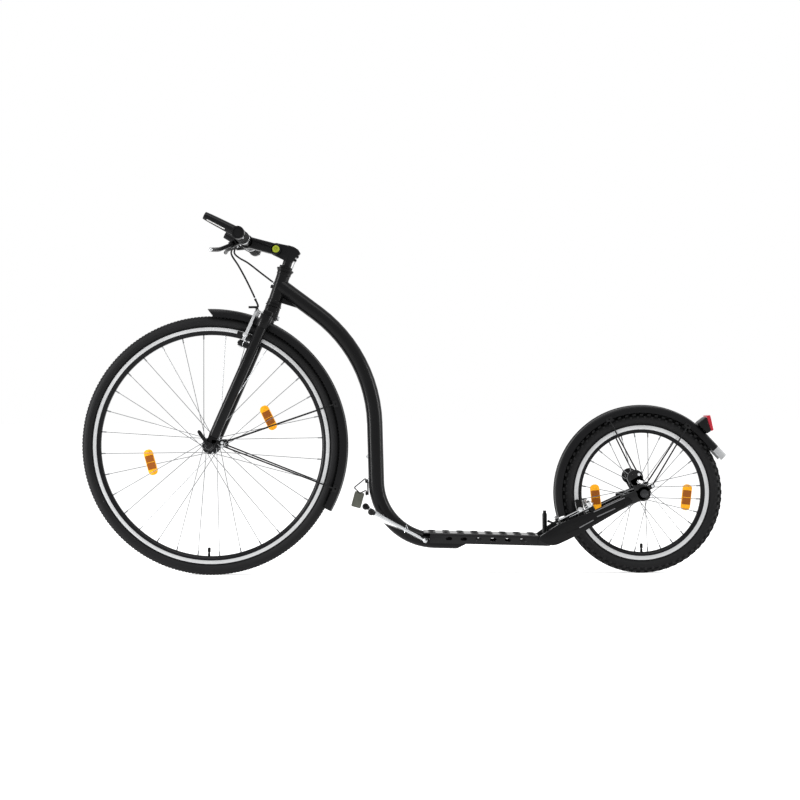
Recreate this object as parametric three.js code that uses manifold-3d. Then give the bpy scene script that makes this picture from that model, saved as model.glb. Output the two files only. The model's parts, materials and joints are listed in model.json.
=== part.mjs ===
// Kick bike with a large front wheel, a small rear wheel and a low deck between them.
// Millimetres, +Z up. The bike points to -X, and its left side faces -Y.
// While it is built, X is measured from the front axle and Z from the ground.
import * as THREE from "three";
import { mergeVertices } from "three/addons/utils/BufferGeometryUtils.js";
import Module from "manifold-3d";

const wasm = await Module();
wasm.setup();

// Sizes shared by the whole bike
const gap = 0.3;
const overrun = 4;
const headLean = THREE.MathUtils.degToRad(18.5);
const forkRake = 40;
const bladeLean = THREE.MathUtils.degToRad(24);
const deckSlope = THREE.MathUtils.degToRad(1.7);

// Wheels
const frontWheel = {
  name: "front",
  tyreRadius: 346,
  tyreWidth: 35,
  flangeRadius: 318,
  bedRadius: 309,
  wellRadius: 306.5,
  rimInnerRadius: 295.3,
  rimBaseWidth: 14,
  rimShoulderRadius: 302,
  rimWidth: 24,
  hubWidth: 94,
  flangeSpacing: 66,
  spokeCount: 32,
  spokeCrosses: 3,
  firstSpoke: THREE.MathUtils.degToRad(3.8),
  valveAngle: THREE.MathUtils.degToRad(-91.7),
  valveReach: 26,
  reflectorRadius: 169,
  reflectorAngles: [THREE.MathUtils.degToRad(195), THREE.MathUtils.degToRad(25.8)],
  segments: 32,
};
const rearWheel = {
  name: "rear",
  tyreRadius: 215,
  tyreWidth: 40,
  flangeRadius: 182,
  bedRadius: 173,
  wellRadius: 170.5,
  rimInnerRadius: 159,
  rimBaseWidth: 14,
  rimShoulderRadius: 165.5,
  rimWidth: 24,
  hubWidth: 94,
  flangeSpacing: 62,
  spokeCount: 28,
  spokeCrosses: 2,
  firstSpoke: THREE.MathUtils.degToRad(6.2),
  valveAngle: THREE.MathUtils.degToRad(-90),
  valveReach: 26,
  reflectorRadius: 122,
  reflectorAngles: [THREE.MathUtils.degToRad(186), THREE.MathUtils.degToRad(-6.5)],
  segments: 26,
};
const tyreWall = 3;
const rimWall = 1.6;
const tubeWallClearance = 1.5;
const tyreOutlineShares = [[0.28, 0.95], [0.72, 0.86], [1, 0.34]];
const hubShellRadius = 13;
const hubFlangeRadius = 22;
const hubFlangeThickness = 4;
const hubEndRadius = 11;
const hubBoreClearance = 0.4;
const spokeRadius = 1;
const spokeSides = 3;
const spokeRimOffset = 1.5;
const spokeLift = 2.2;
const rimWellShare = 0.5;
const valveRadius = 4;
const valveHoleRadius = 4.6;
const reflectorLength = 72;
const reflectorWidth = 26;
const reflectorThickness = 8;
const reflectorClipWidth = 8;
const reflectorClipClearance = 0.1;

// Main tube: a straight from the head, a bend, a straight down, a bend and a straight under the deck
const mainTubeRadius = 21;
const mainTubeWall = 2.5;
const downLean = THREE.MathUtils.degToRad(1.3);
const upperCornerX = 432;
const upperCornerZ = 587;
const upperBendRadius = 380;
const lowerBendRadius = 160;
const mainTubeMeetShare = 0.5659;
const mainTubeEndX = 690;
const mainTubeEndSlant = 37;
const mainTubeSides = 12;
const mainTubeSteps = 30;
const boreFloor = 230;
const gussetLift = 7;
const gussetReach = 44;
const gussetFall = 14;
const gussetHalf = 3;

// Head tube and headset, along the steering axis from the foot of the axle's perpendicular
const headTubeLow = 413;
const headTubeHigh = 501;
const mainTubeMeet = headTubeLow + (headTubeHigh - headTubeLow) * mainTubeMeetShare;
const headTubeRadius = 18;
const headTubeSides = 14;
const steererRadius = 14.3;
const steererBore = 11.5;
const steererClearance = 0.6;
const headTubeWall = 2.2;
const cupHeight = 8.5;
const lowerCupRadius = 21.5;
const upperCupRadius = 23;
const cableStopZ = 450;
const cableStopRadius = 4.5;
const cableStopLength = 9;
const cableStopForward = 20;
const cableStopSide = 7;

// Deck, in its own frame from the front of its side plates
const deckFrontX = 582;
const deckFrontZ = 113.4;
const deckLength = 322;
const rearAxleBehind = 243;
const wheelbase = deckFrontX + deckLength + rearAxleBehind;
const deckLip = 17;
const deckEndOpen = 19;
const deckTopLength = deckLength - deckEndOpen;
const deckWidth = 100;
const deckDepth = 27;
const deckSheet = 2;
const gripHoleRadius = 8;
const gripCollarWidth = 2;
const gripCollarHeight = 2;
const gripHolePitch = 38;
const gripHoleRow = 30;
const gripHoleFirst = 5;
const gripHoleRun = deckTopLength - deckLip - gripHoleFirst - gripHoleRadius - gripCollarWidth;
const gripHoleCount = Math.floor(gripHoleRun / gripHolePitch) + 1;
const gripHoleSides = 8;
const midHoleFirst = 3;
const sideHoleLength = 17;
const sideHoleHeight = 9;
const sideHolePitch = 39.1;
const sideHoleFirst = 50;
const sideHoleCount = 6;
const sideHoleDepth = 14;
const braceStart = 150;
const braceLength = 70;
const braceSheet = 3;

// Rear fork arms and their dropouts
const armSlope = THREE.MathUtils.degToRad(27.4);
const armWidth = 14;
const armOverDeck = 44;
const armReach = rearAxleBehind + armOverDeck;
const armFall = 119;
const armOutlineShares = [
  [1, 1],
  [0.77, 0.64],
  [0.488, 0.4],
  [0.16, 0.04],
  [0.09, 0.188],
  [0.643, 0.948],
  [0.847, 1.176],
];
const brakeSeatRise = 33.8;
const dropoutThickness = 6;
const dropoutLobe = 21;
const dropoutLobeX = -23;
const dropoutLobeZ = 42;
const dropoutAxleRadius = 19;
const dropoutSlotWidth = 10.6;
const dropoutTongue = 64;
const tongueRise = 9;
const tongueHalf = 15;
const dropoutWaist = 17;
const stayEyeRadius = 6;
const axleSlotRun = [40, -12];
const upperSlotRun = [17, -5];
const upperSlotStart = [-14, 31];
const dropoutTabRise = 8;

// Post behind the deck
const postInset = 15;
const postX = deckFrontX + deckLength - postInset;
const postHeight = 62;
const postRadius = 6.3;
const postCapRadius = 4.6;
const postCapHeight = 7;
const postPlateLength = 26;
const postPlateThickness = 4;
const postPlateZ = 95;
const bridgeAngle = THREE.MathUtils.degToRad(201);
const bridgeRadius = 7;
const bridgeTabArc = THREE.MathUtils.degToRad(4);
const bridgeTabThickness = 2;
const bridgeTabHalf = 8;
const bridgeTabSag = 0.4;

// Axles
const frontAxleRadius = 4.5;
const rearAxleRadius = 5;
const axleNutRadius = 10;
const axleNutLength = 9;
const axleOverhang = 6;
const washerRadius = 11;
const washerThickness = 2;
const lockRadius = 8.5;
const qrCup = 6;
const qrCupRadius = 11;
const qrCamRadius = 7;
const qrCamHalf = 8;
const qrLean = THREE.MathUtils.degToRad(33);
const qrLength = 46;
const qrHalfWidth = 5;
const qrThickness = 4;

// Fork
const bladeRadius = 14;
const bladeFootY = 57;
const bladeTopY = 46;
const bladeStart = 26;
const bladeTop = 372;
const forkTongue = 8;
const bladeSides = 12;
const forkDropoutThickness = 6;
const forkDropoutRadius = 13;
const stayTabReach = 34;
const stayTabRise = 9;
const stayTabRadius = 5;
const stayEyePitch = 9;
const crownBossRadius = 20;
const crownSocketRadius = 16.5;
const crownSocketHeight = 30;
const crownCap = 6;
const crownClearance = 1.3;
const crownBridgeHeight = 26;
const crownArchHalf = 27;
const crownBridgeDepth = 26;
const crownBoltRadius = 3.5;
const crownBoltHeadRadius = 6;
const crownBoltHead = 5;
const locknutHeight = 7;
const locknutRadius = 18;

// Stem, in the steering frame
const quillRadius = 11.1;
const quillDepth = 45;
const neckRadius = 12.5;
const stemPivotX = -39.3;
const stemPivotZ = 551.7;
const barX = -120.4;
const barDrop = 5;
const barZ = stemPivotZ - barDrop;
const stemHeadWidth = 24;
const stemHeadTop = 573;
const stemHeadBack = 25.5;
const stemVisorZ = 560;
const stemVisorTip = 15;
const stemVisorTipZ = 570;
const stemBackX = 17;
const stemHeadLow = 531;
const stemHeadBackLow = 548;
const stemKnuckleRadius = 17;
const stemArmWidth = 38;
const stemArmDepth = 29;
const barClampRadius = 18;
const stemPivotBoltRadius = 4;
const stemCapRadius = 10;
const stemCapThickness = 3;
const stemCapOverhang = 1.5;

// Handlebar, grips, bar ends and levers, in a frame on the bar
const barRadius = 11.1;
const barBulgeRadius = 12.7;
const barBulgeHalf = 32;
const barTaper = 26;
const barHalf = 258;
const barSides = 12;
const gripRadius = 16;
const gripInner = 122;
const gripFlangeRadius = 19;
const gripRibHalf = 2;
const barEndOverhang = 4;
const barEndWidth = 24;
const barEndOuter = barHalf + barEndOverhang;
const barEndInner = barEndOuter - barEndWidth;
const gripEndRoom = 2;
const gripOuter = barEndInner - gripEndRoom;
const barEndClampRadius = 16.5;
const barEndReach = 93;
const barEndRise = THREE.MathUtils.degToRad(27.6);
const barEndRootRadius = 13;
const barEndTipRadius = 10;
const leverDroops = [THREE.MathUtils.degToRad(30), THREE.MathUtils.degToRad(5)];
const leverClampInner = 98;
const leverClampOuter = 112;
const leverClampRadius = 16;
const leverBodyFront = 24;
const leverCheekFront = 42;
const leverBodyInner = 92;
const leverBodyOuter = 122;
const leverHalfThickness = 5;
const leverCheek = 3.5;
const leverPivotForward = 33;
const leverPivotY = 113;
const leverPinRadius = 3;
const leverRootRadius = 7.5;
const leverTipForward = 82;
const leverTipY = 238;
const leverTipRadius = 5.5;
const leverBladeThickness = 3.5;
const leverMidForward = 64;
const leverMidY = 150;
const leverNoseOuter = 104;
const adjusterForward = 34;
const adjusterRadius = 4.2;
const adjusterLength = 20;

// Mudguards
const guardThickness = 1.6;
const frontGuardRoom = 19;
const frontGuardRadius = frontWheel.tyreRadius + frontGuardRoom;
const frontGuardHalf = 24;
const frontGuardDrop = 17;
const frontGuardFrom = THREE.MathUtils.degToRad(-29);
const frontGuardTo = THREE.MathUtils.degToRad(91.3);
const frontStayAngles = [THREE.MathUtils.degToRad(18.3), THREE.MathUtils.degToRad(-19.4)];
const rearGuardRoom = 19;
const rearGuardRadius = rearWheel.tyreRadius + rearGuardRoom;
const rearGuardHalf = 26;
const rearGuardDrop = 21;
const rearGuardFrom = THREE.MathUtils.degToRad(24);
const rearGuardTo = THREE.MathUtils.degToRad(196);
const rearFlare = 13;
const rearStayAngles = [THREE.MathUtils.degToRad(114), THREE.MathUtils.degToRad(55.6)];
const rearStayFeet = [[-14, 51], [22, 20]];
const guardShoulderShares = [[0, 0.62], [0.3, 0.93], [1, 1]];
const guardInnerShares = [[0.4, 1], [0.9, 0.6], [1, 0]];
const frontGuardSteps = 24;
const rearGuardSteps = 27;
const stayRadius = 2;
const staySides = 6;
const clipLength = 18;
const clipDepth = 8;
const clipThickness = 3;
const clipRoom = 0.8;
const clipBandSag = 8;
const clipInset = 5.8;
const clipSheet = 2;
const stayBoltRadius = 4;
const stayBoltHead = 2.5;

// Tail light, from a point on the rear mudguard's outside
const lightAngle = THREE.MathUtils.degToRad(44);
const lightBodyOutline = [[-18, 23], [2.7, 38.5], [14.7, 0.5], [-3, -10]];
const lensOutline = [[3.2, 41.5], [13, 43.5], [22, 3.5], [15.3, 0.5]];
const lightHalf = 30;

// Linear-pull brakes, in a frame on the axle whose Z runs along the fork blade or arm
const studRadius = 4;
const studBossRadius = 8;
const frontStudBoss = 12;
const rearStudBoss = 12;
const studLength = 17;
const studRoot = 5;
const barrelRadius = 8.5;
const frontBrakeReach = 100;
const rearBrakeReach = 96;
const barrelOverhang = 2.5;
const brakeTail = 11;
const brakeTopY = 34;
const brakeBladeWidth = 12;
const brakeBladeThickness = 7;
const padLength = 50;
const padHeight = 10;
const padThickness = 9;
const padGap = 2;
const padNut = 5;
const padPostRadius = 3.2;
const noodleRadius = 2.6;
const noodleRise = 22;
const noodleOut = 18;
const noodleSeat = 2;
const noodleForward = 14;
const noodleShares = [0.75, 0.4, 1.05];
const bootRadius = 5;
const bootRoom = 26;
const frontStudY = 49;
const frontPivotReach = 283;
const frontPadRadius = 309;
const rearStudY = 53;
const rearPivotReach = 141;
const rearPadRadius = 173;

// Stand, its sleeve, and the keeper on the front of the main tube
const standPivotX = 569;
const standPivotZ = 92;
const standAngle = THREE.MathUtils.degToRad(28.4);
const sleeveRadius = 11;
const sleeveHalf = 22.5;
const standPinRadius = 7;
const legRadius = 3.6;
const leftLegLength = 162;
const rightLegLength = 181;
const legRootY = 29;
const legFootY = 44;
const legKneeShare = 0.3;
const footRadius = 9;
const slotAbove = 7;
const slotBelow = 13;
const slotLength = 210;
const slotLand = 3;
const slotMouth = 115;
const slotKnee = 68;
const slotRootShare = 0.45;
const keeperLow = 216;
const keeperHigh = 249;
const keeperBarrelRadius = 3.4;
const keeperWireRadius = 1.5;
const keeperClipThickness = 2.2;
const keeperPlateThickness = 1.6;
const keeperClipHalf = 5;
const keeperBarrelHalf = 4;
const keeperWireRise = 5;
const keeperPlateReach = 18;
const keeperPlateTop = 4;
const keeperPlateLength = 42;
const keeperPlateWidth = 26;
const keeperPlateLean = THREE.MathUtils.degToRad(17);
const keeperBailReach = 33;

// Cables, with the points that they pass, from the front axle
const cableRadius = 2.5;
const cableLead = 14;
const cableStepShare = 5.5;
const cableSides = 6;
const leverLead = 9;
const stopLead = 6;
const frontCableVia = [[60, -50, 508], [78, -42, 477], [97, -42, 442]];
const rearCableVia = [[58, 50, 520], [72, 39, 505], [97, 31, 490], [134, 22, 461], [152, 14, 447]];

const coat = (name, color, roughness, metalness) =>
  new THREE.MeshStandardMaterial({ name, color, roughness, metalness });
const black = coat("frame_black", 0x101113, 0.3, 0.2);
const steel = coat("bright_steel", 0xb9bcc0, 0.28, 0.9);
const alloy = coat("silver_alloy", 0xc6c8ca, 0.35, 0.85);
const rubber = coat("black_rubber", 0x1a1a1b, 0.8, 0);
const plastic = coat("black_plastic", 0x151517, 0.5, 0);
const amber = coat("amber_lens", 0xd98012, 0.25, 0);
const red = coat("red_lens", 0xa3121c, 0.2, 0);
const lime = coat("lime_cap", 0xa6b82a, 0.35, 0.4);
const olive = coat("keeper_grey", 0x5d5f55, 0.5, 0.3);
const cable = coat("cable_black", 0x131315, 0.55, 0);
const rimBlack = coat("rim_black", 0x141516, 0.35, 0.5);

const at = (x, y, z) => new THREE.Vector3(x, y, z);
const flat = (point) => [point.x, point.z];

// A closed three.js geometry as a solid that can be cut and joined
function solid(geometry) {
  geometry.deleteAttribute("normal");
  geometry.deleteAttribute("uv");
  const merged = mergeVertices(geometry);
  const points = merged.attributes.position;
  const corner = [at(0, 0, 0), at(0, 0, 0), at(0, 0, 0)];
  const faces = [];
  let volume = 0;
  for (let i = 0; i < merged.index.count; i += 3) {
    const face = [merged.index.getX(i), merged.index.getX(i + 1), merged.index.getX(i + 2)];
    if (new Set(face).size < 3) continue;
    faces.push(face);
    face.forEach((index, j) => corner[j].fromBufferAttribute(points, index));
    volume += corner[0].dot(corner[1].cross(corner[2]));
  }
  const turned = volume < 0 ? faces.map(([a, b, c]) => [a, c, b]) : faces;
  const mesh = new wasm.Mesh({
    numProp: 3,
    vertProperties: new Float32Array(points.array),
    triVerts: new Uint32Array(turned.flat()),
  });
  return new wasm.Manifold(mesh);
}

// The radius of a hole whose flats clear a round bar
const roomFor = (radius, sides) => radius / Math.cos(Math.PI / sides) + gap;

const join = (...solids) => solids.flat().reduce((all, one) => all.add(one));
const cut = (from, ...tools) => tools.flat().reduce((left, one) => left.subtract(one), from);

function geometryOf(body) {
  const mesh = body.getMesh();
  const geometry = new THREE.BufferGeometry();
  geometry.setAttribute("position", new THREE.BufferAttribute(mesh.vertProperties, 3));
  geometry.setIndex(new THREE.BufferAttribute(mesh.triVerts, 1));
  geometry.computeVertexNormals();
  return geometry;
}

function place(parent, name, body, material) {
  const mesh = new THREE.Mesh(geometryOf(body), material);
  mesh.name = name;
  parent.add(mesh);
  return mesh;
}

function group(parent, position, turn = 0) {
  const frame = new THREE.Group();
  frame.position.copy(position);
  frame.rotation.y = turn;
  parent.add(frame);
  return frame;
}

// A straight round bar from one point to another, which may taper
function rod(from, to, radius, sides = 10, endRadius = radius) {
  const axis = to.clone().sub(from);
  const bar = new THREE.CylinderGeometry(endRadius, radius, axis.length(), sides);
  bar.translate(0, axis.length() / 2, 0);
  bar.applyQuaternion(new THREE.Quaternion().setFromUnitVectors(at(0, 1, 0), axis.normalize()));
  bar.translate(from.x, from.y, from.z);
  return solid(bar);
}

function ball(centre, radius, sides = 10) {
  const sphere = new THREE.SphereGeometry(radius, sides, sides / 2);
  sphere.translate(centre.x, centre.y, centre.z);
  return solid(sphere);
}

function block(low, high) {
  const size = high.clone().sub(low);
  const box = new THREE.BoxGeometry(size.x, size.y, size.z);
  box.translate((low.x + high.x) / 2, (low.y + high.y) / 2, (low.z + high.z) / 2);
  return solid(box);
}

// A profile of radius and height, turned about Y or about Z
function turnedY(profile, segments) {
  return solid(new THREE.LatheGeometry(profile.map(([r, y]) => new THREE.Vector2(r, y)), segments));
}

function turnedZ(profile, segments) {
  const ring = new THREE.LatheGeometry(profile.map(([r, z]) => new THREE.Vector2(r, z)), segments);
  ring.rotateX(Math.PI / 2);
  return solid(ring);
}

function sleeveProfile(inner, outer, low, high) {
  return [[inner, low], [outer, low], [outer, high], [inner, high], [inner, low]];
}

// A round tube that follows a curve
function sweep(curve, radius, sides, steps) {
  const section = new THREE.Shape();
  for (let i = 0; i < sides; i += 1) {
    const angle = (i / sides) * 2 * Math.PI;
    const move = i === 0 ? "moveTo" : "lineTo";
    section[move](radius * Math.cos(angle), radius * Math.sin(angle));
  }
  return solid(new THREE.ExtrudeGeometry(section, { steps, bevelEnabled: false, extrudePath: curve }));
}

// Points round a circle in a plane, for outlines
function arc(x, z, radius, fromAngle, toAngle, steps) {
  const points = [];
  for (let i = 0; i <= steps; i += 1) {
    const angle = fromAngle + ((toAngle - fromAngle) * i) / steps;
    points.push([x + radius * Math.cos(angle), z + radius * Math.sin(angle)]);
  }
  return points;
}

// Outlines in two axes, each with its thickness along the third
function slab(outline, axes, from, to) {
  const shape = new THREE.Shape(outline.map(([a, b]) => new THREE.Vector2(a, b)));
  const body = new THREE.ExtrudeGeometry(shape, { depth: to - from, bevelEnabled: false });
  body.translate(0, 0, from);
  body.applyMatrix4(new THREE.Matrix4().makeBasis(...axes));
  return solid(body);
}

const axisX = at(1, 0, 0);
const axisY = at(0, 1, 0);
const axisZ = at(0, 0, 1);
const plateXZ = (outline, fromY, toY) => slab(outline, [axisX, axisZ, axisY], fromY, toY);
const plateYZ = (outline, fromX, toX) => slab(outline, [axisY, axisZ, axisX], fromX, toX);
const plateXY = (outline, fromZ, toZ) => slab(outline, [axisX, axisY, axisZ], fromZ, toZ);

// The outline of a straight strip between two points
function strip([x1, z1], [x2, z2], half) {
  const along = new THREE.Vector2(x2 - x1, z2 - z1).normalize().multiplyScalar(half);
  return [
    [x1 - along.y, z1 + along.x],
    [x1 + along.y, z1 - along.x],
    [x2 + along.y, z2 - along.x],
    [x2 - along.y, z2 + along.x],
  ];
}

// The outline of a strip with round ends, along X
function capsule(x, z, length, height) {
  const radius = height / 2;
  const half = length / 2 - radius;
  const right = arc(x + half, z, radius, -Math.PI / 2, Math.PI / 2, 3);
  const left = arc(x - half, z, radius, Math.PI / 2, 1.5 * Math.PI, 3);
  return [...right, ...left];
}

const disc = (x, z, radius, fromY, toY, sides = 12) =>
  rod(at(x, fromY, z), at(x, toY, z), radius, sides);

// A profile drawn on one side of the middle and its mirror image, closed on itself
function mirrored(half) {
  const other = half.map(([r, y]) => [r, -y]).reverse();
  return [...half, ...other, half[0]];
}

// A point of one frame, seen from another
const across = (from, to, point) => to.worldToLocal(from.localToWorld(point.clone()));

// A flat path in X and Z, as a curve that a section can follow
class FlatCurve extends THREE.Curve {
  constructor(path, home, frame) {
    super();
    Object.assign(this, { path, home, frame });
  }

  getPoint(t, target = at(0, 0, 0)) {
    const point = this.path.getPoint(t);
    return target.copy(across(this.home, this.frame, at(point.x, 0, point.y)));
  }
}

// Frames that the pieces are built in
const bike = new THREE.Group();
bike.name = "kick_bike";
const frontFrame = group(bike, at(0, 0, frontWheel.tyreRadius));
const rearFrame = group(bike, at(wheelbase, 0, rearWheel.tyreRadius));
const steeringFrame = group(frontFrame, at(forkRake, 0, 0).applyAxisAngle(axisY, headLean), headLean);
const forkFrame = group(frontFrame, at(0, 0, 0), bladeLean);
const barFrame = group(steeringFrame, at(barX, 0, barZ), -headLean);
const leverFrames = leverDroops.map((droop) => group(barFrame, at(0, 0, 0), -droop));
const deckFrame = group(bike, at(deckFrontX, 0, deckFrontZ), deckSlope);
const armFrame = group(rearFrame, at(0, 0, 0), -Math.PI / 2 - armSlope);
const standFrame = group(bike, at(standPivotX, 0, standPivotZ), standAngle);
const keeperDepth = mainTubeRadius + gap + keeperClipThickness + keeperBarrelRadius;
const keeperFrame = group(bike, at(downTubePoint(keeperLow) - keeperDepth, 0, keeperLow), -downLean);

// Wheels
const around = (angle, radius, y) => at(radius * Math.cos(angle), y, radius * Math.sin(angle));

function rim(wheel) {
  const edge = wheel.rimWidth / 2;
  const bed = edge - rimWall;
  const base = wheel.rimBaseWidth / 2;
  const well = base * rimWellShare;
  const half = [
    [wheel.rimInnerRadius, base],
    [wheel.rimShoulderRadius, edge],
    [wheel.flangeRadius, edge],
    [wheel.flangeRadius, bed],
    [wheel.bedRadius, bed],
    [wheel.bedRadius, base],
    [wheel.wellRadius, well],
  ];
  const inside = around(wheel.valveAngle, wheel.rimInnerRadius - overrun, 0);
  const outside = around(wheel.valveAngle, wheel.bedRadius + overrun, 0);
  return cut(turnedY(mirrored(half), wheel.segments), rod(inside, outside, valveHoleRadius, 8));
}

// The outline of the tyre's carcass, drawn in by a wall
function carcass(wheel, wall, beadRadius) {
  const bead = wheel.rimWidth / 2 - rimWall - gap - wall;
  const height = wheel.tyreRadius - wall - wheel.flangeRadius;
  const half = wheel.tyreWidth / 2 - wall;
  const crown = tyreOutlineShares.map(([up, out]) => [wheel.flangeRadius + up * height, out * half]);
  return [[beadRadius, bead], [wheel.flangeRadius + gap, bead], ...crown];
}

function tyre(wheel) {
  const beadRadius = wheel.bedRadius + gap;
  const inner = carcass(wheel, tyreWall, beadRadius).reverse();
  const outer = carcass(wheel, 0, beadRadius);
  return turnedY(mirrored([...inner, ...outer]), wheel.segments);
}

function innerTube(wheel) {
  const low = wheel.bedRadius + tubeWallClearance;
  const ring = turnedY(mirrored(carcass(wheel, tyreWall + tubeWallClearance, low)), wheel.segments);
  const tip = around(wheel.valveAngle, wheel.rimInnerRadius - wheel.valveReach, 0);
  return join(ring, rod(around(wheel.valveAngle, wheel.flangeRadius, 0), tip, valveRadius, 8));
}

function hub(wheel, axleRadius) {
  const end = wheel.hubWidth / 2;
  const flange = wheel.flangeSpacing / 2;
  const half = [
    [axleRadius + hubBoreClearance, end],
    [hubEndRadius, end],
    [hubEndRadius, flange + hubFlangeThickness / 2],
    [hubFlangeRadius, flange + hubFlangeThickness / 2],
    [hubFlangeRadius, flange - hubFlangeThickness / 2],
    [hubShellRadius, flange - hubFlangeThickness],
  ];
  return turnedY(mirrored(half), 10);
}

// One spoke, from the face of the hub's flange to the inside of the rim
function spoke(wheel, index) {
  const pitch = (2 * Math.PI) / wheel.spokeCount;
  const side = index % 2 === 0 ? -1 : 1;
  const leads = index % 4 < 2 ? 1 : -1;
  const angle = wheel.firstSpoke + index * pitch;
  const hubAngle = angle + leads * 2 * wheel.spokeCrosses * pitch;
  const lift = (wheel.flangeSpacing / 2 + leads * spokeLift) * side;
  const hole = hubFlangeRadius - hubFlangeThickness;
  const from = around(hubAngle, hole, lift);
  const to = around(angle, wheel.rimInnerRadius, spokeRimOffset * side);
  const run = to.clone().sub(from);
  const flatRun = run.x * run.x + run.z * run.z;
  const inward = -(from.x * run.x + from.z * run.z) / flatRun;
  const radius = wheel.rimInnerRadius * Math.cos(Math.PI / wheel.segments) - gap;
  const reach = inward + Math.sqrt(inward * inward + (radius * radius - hole * hole) / flatRun);
  return rod(from, from.clone().addScaledVector(run, reach), spokeRadius, spokeSides);
}

function spokes(wheel) {
  return Array.from({ length: wheel.spokeCount }, (_, index) => spoke(wheel, index));
}

// A reflector between the two rows of spokes, with the bar that clips on them
function reflector(wheel, angle) {
  const outward = (radius, along) => {
    const point = around(angle, radius, 0).addScaledVector(around(angle + Math.PI / 2, 1, 0), along);
    return [point.x, point.z];
  };
  const bar = (width, half) => {
    const outline = strip(
      outward(wheel.reflectorRadius, -reflectorLength / 2),
      outward(wheel.reflectorRadius, reflectorLength / 2),
      width / 2,
    );
    return plateXZ(outline, -half, half);
  };
  const outerShare = (wheel.reflectorRadius + reflectorClipWidth / 2) / wheel.rimInnerRadius;
  const spread = (wheel.flangeSpacing / 2 - spokeLift) * (1 - outerShare) + spokeRimOffset * outerShare;
  const clipHalf = spread - spokeRadius - gap - reflectorClipClearance;
  return join(bar(reflectorWidth, reflectorThickness / 2), bar(reflectorClipWidth, clipHalf));
}

function wheelPieces(frame, wheel, axleRadius) {
  place(frame, `${wheel.name}_hub_spokes`, join(hub(wheel, axleRadius), spokes(wheel)), steel);
  place(frame, `${wheel.name}_rim`, rim(wheel), rimBlack);
  place(frame, `${wheel.name}_tyre`, tyre(wheel), rubber);
  place(frame, `${wheel.name}_inner_tube`, innerTube(wheel), rubber);
  wheel.reflectorAngles.forEach((angle, i) =>
    place(frame, `${wheel.name}_reflector_${i + 1}`, reflector(wheel, angle), amber),
  );
}

// Frame: the main tube's path, straight between two round bends
function mainTubePath(extra) {
  const head = steeringPoint(mainTubeMeet);
  const upper = new THREE.Vector2(upperCornerX, upperCornerZ);
  const down = new THREE.Vector2(Math.sin(downLean), -Math.cos(downLean));
  const under = new THREE.Vector2(Math.cos(deckSlope), -Math.sin(deckSlope));
  const lowest = across(deckFrame, bike, at(0, 0, -deckSheet - gap - mainTubeRadius));
  const origin = new THREE.Vector2(lowest.x, lowest.z);
  const drop = origin.clone().sub(upper).cross(under) / down.cross(under);
  const lower = upper.clone().addScaledVector(down, drop);
  const endX = mainTubeEndX + mainTubeEndSlant + extra;
  const end = lower.clone().addScaledVector(under, (endX - lower.x) / under.x);
  const path = new THREE.Path();
  path.moveTo(head.x, head.y);
  bend(path, head, upper, lower, upperBendRadius);
  bend(path, upper, lower, end, lowerBendRadius);
  path.lineTo(end.x, end.y);
  return path;
}

// A point of the steering axis, in X and Z
function steeringPoint(along) {
  const point = across(steeringFrame, bike, at(0, 0, along));
  return new THREE.Vector2(point.x, point.z);
}

// A straight up to a round bend at a corner, and the bend
function bend(path, before, corner, after, radius) {
  const into = corner.clone().sub(before).normalize();
  const out = after.clone().sub(corner).normalize();
  const turn = Math.acos(into.dot(out));
  const reach = radius * Math.tan(turn / 2);
  const start = corner.clone().addScaledVector(into, -reach);
  const sense = Math.sign(into.cross(out));
  const centre = start.clone().add(new THREE.Vector2(-into.y, into.x).multiplyScalar(sense * radius));
  const from = Math.atan2(start.y - centre.y, start.x - centre.x);
  path.lineTo(start.x, start.y);
  path.absarc(centre.x, centre.y, radius, from, from + sense * turn, sense < 0);
}

// The main tube's outside or bore, seen from a frame
function mainTubeSolid(radius, extra, frame) {
  return sweep(new FlatCurve(mainTubePath(extra), bike, frame), radius, mainTubeSides, mainTubeSteps);
}

function mainTube() {
  const outer = mainTubeSolid(mainTubeRadius, 0, bike);
  const bore = mainTubeSolid(mainTubeRadius - mainTubeWall, overrun, bike);
  const low = at(upperCornerX - mainTubeRadius * 2, -mainTubeRadius, 0);
  const openX = mainTubeEndX + mainTubeEndSlant + overrun * 2;
  const floor = block(low, at(openX, mainTubeRadius, boreFloor));
  const acrossHead = (from, to, radius) =>
    rod(
      across(steeringFrame, bike, at(0, 0, from - gap)),
      across(steeringFrame, bike, at(0, 0, to + gap)),
      roomFor(radius, headTubeSides),
      headTubeSides,
    );
  const head = [[headTubeLow, headTubeHigh, headTubeRadius], lowerCup, upperCup];
  const reach = mainTubeRadius * 2;
  const sleeve = disc(standPivotX, standPivotZ, roomFor(sleeveRadius, 12), -reach, reach, 12);
  const room = head.map((size) => acrossHead(...size));
  return cut(join(outer, gusset()), floor.intersect(bore), room, sleeve, standSlot(), slantedEnd());
}

// The plate in the corner below the main tube at the head tube
function gusset() {
  const foot = across(steeringFrame, bike, at(headTubeRadius, 0, headTubeLow + gussetLift));
  const far = foot.x + gussetReach;
  const head = steeringPoint(mainTubeMeet);
  const outline = [[foot.x, foot.z], [far, foot.z - gussetFall], [far, foot.z], [head.x, head.y]];
  return plateXZ(outline, -gussetHalf, gussetHalf);
}

// What is cut off under the deck, so that the main tube's end slants up to the rear
function slantedEnd() {
  const middle = -deckSheet - gap - mainTubeRadius;
  const x = mainTubeEndX - deckFrontX;
  const corner = (along, up) =>
    flat(across(deckFrame, bike, at(x + along * mainTubeEndSlant, 0, middle + up * mainTubeRadius)));
  const outline = [corner(-2, -2), corner(2, 2), corner(4, 2), corner(4, -2)];
  return plateXZ(outline, -mainTubeRadius * 2, mainTubeRadius * 2);
}

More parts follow.
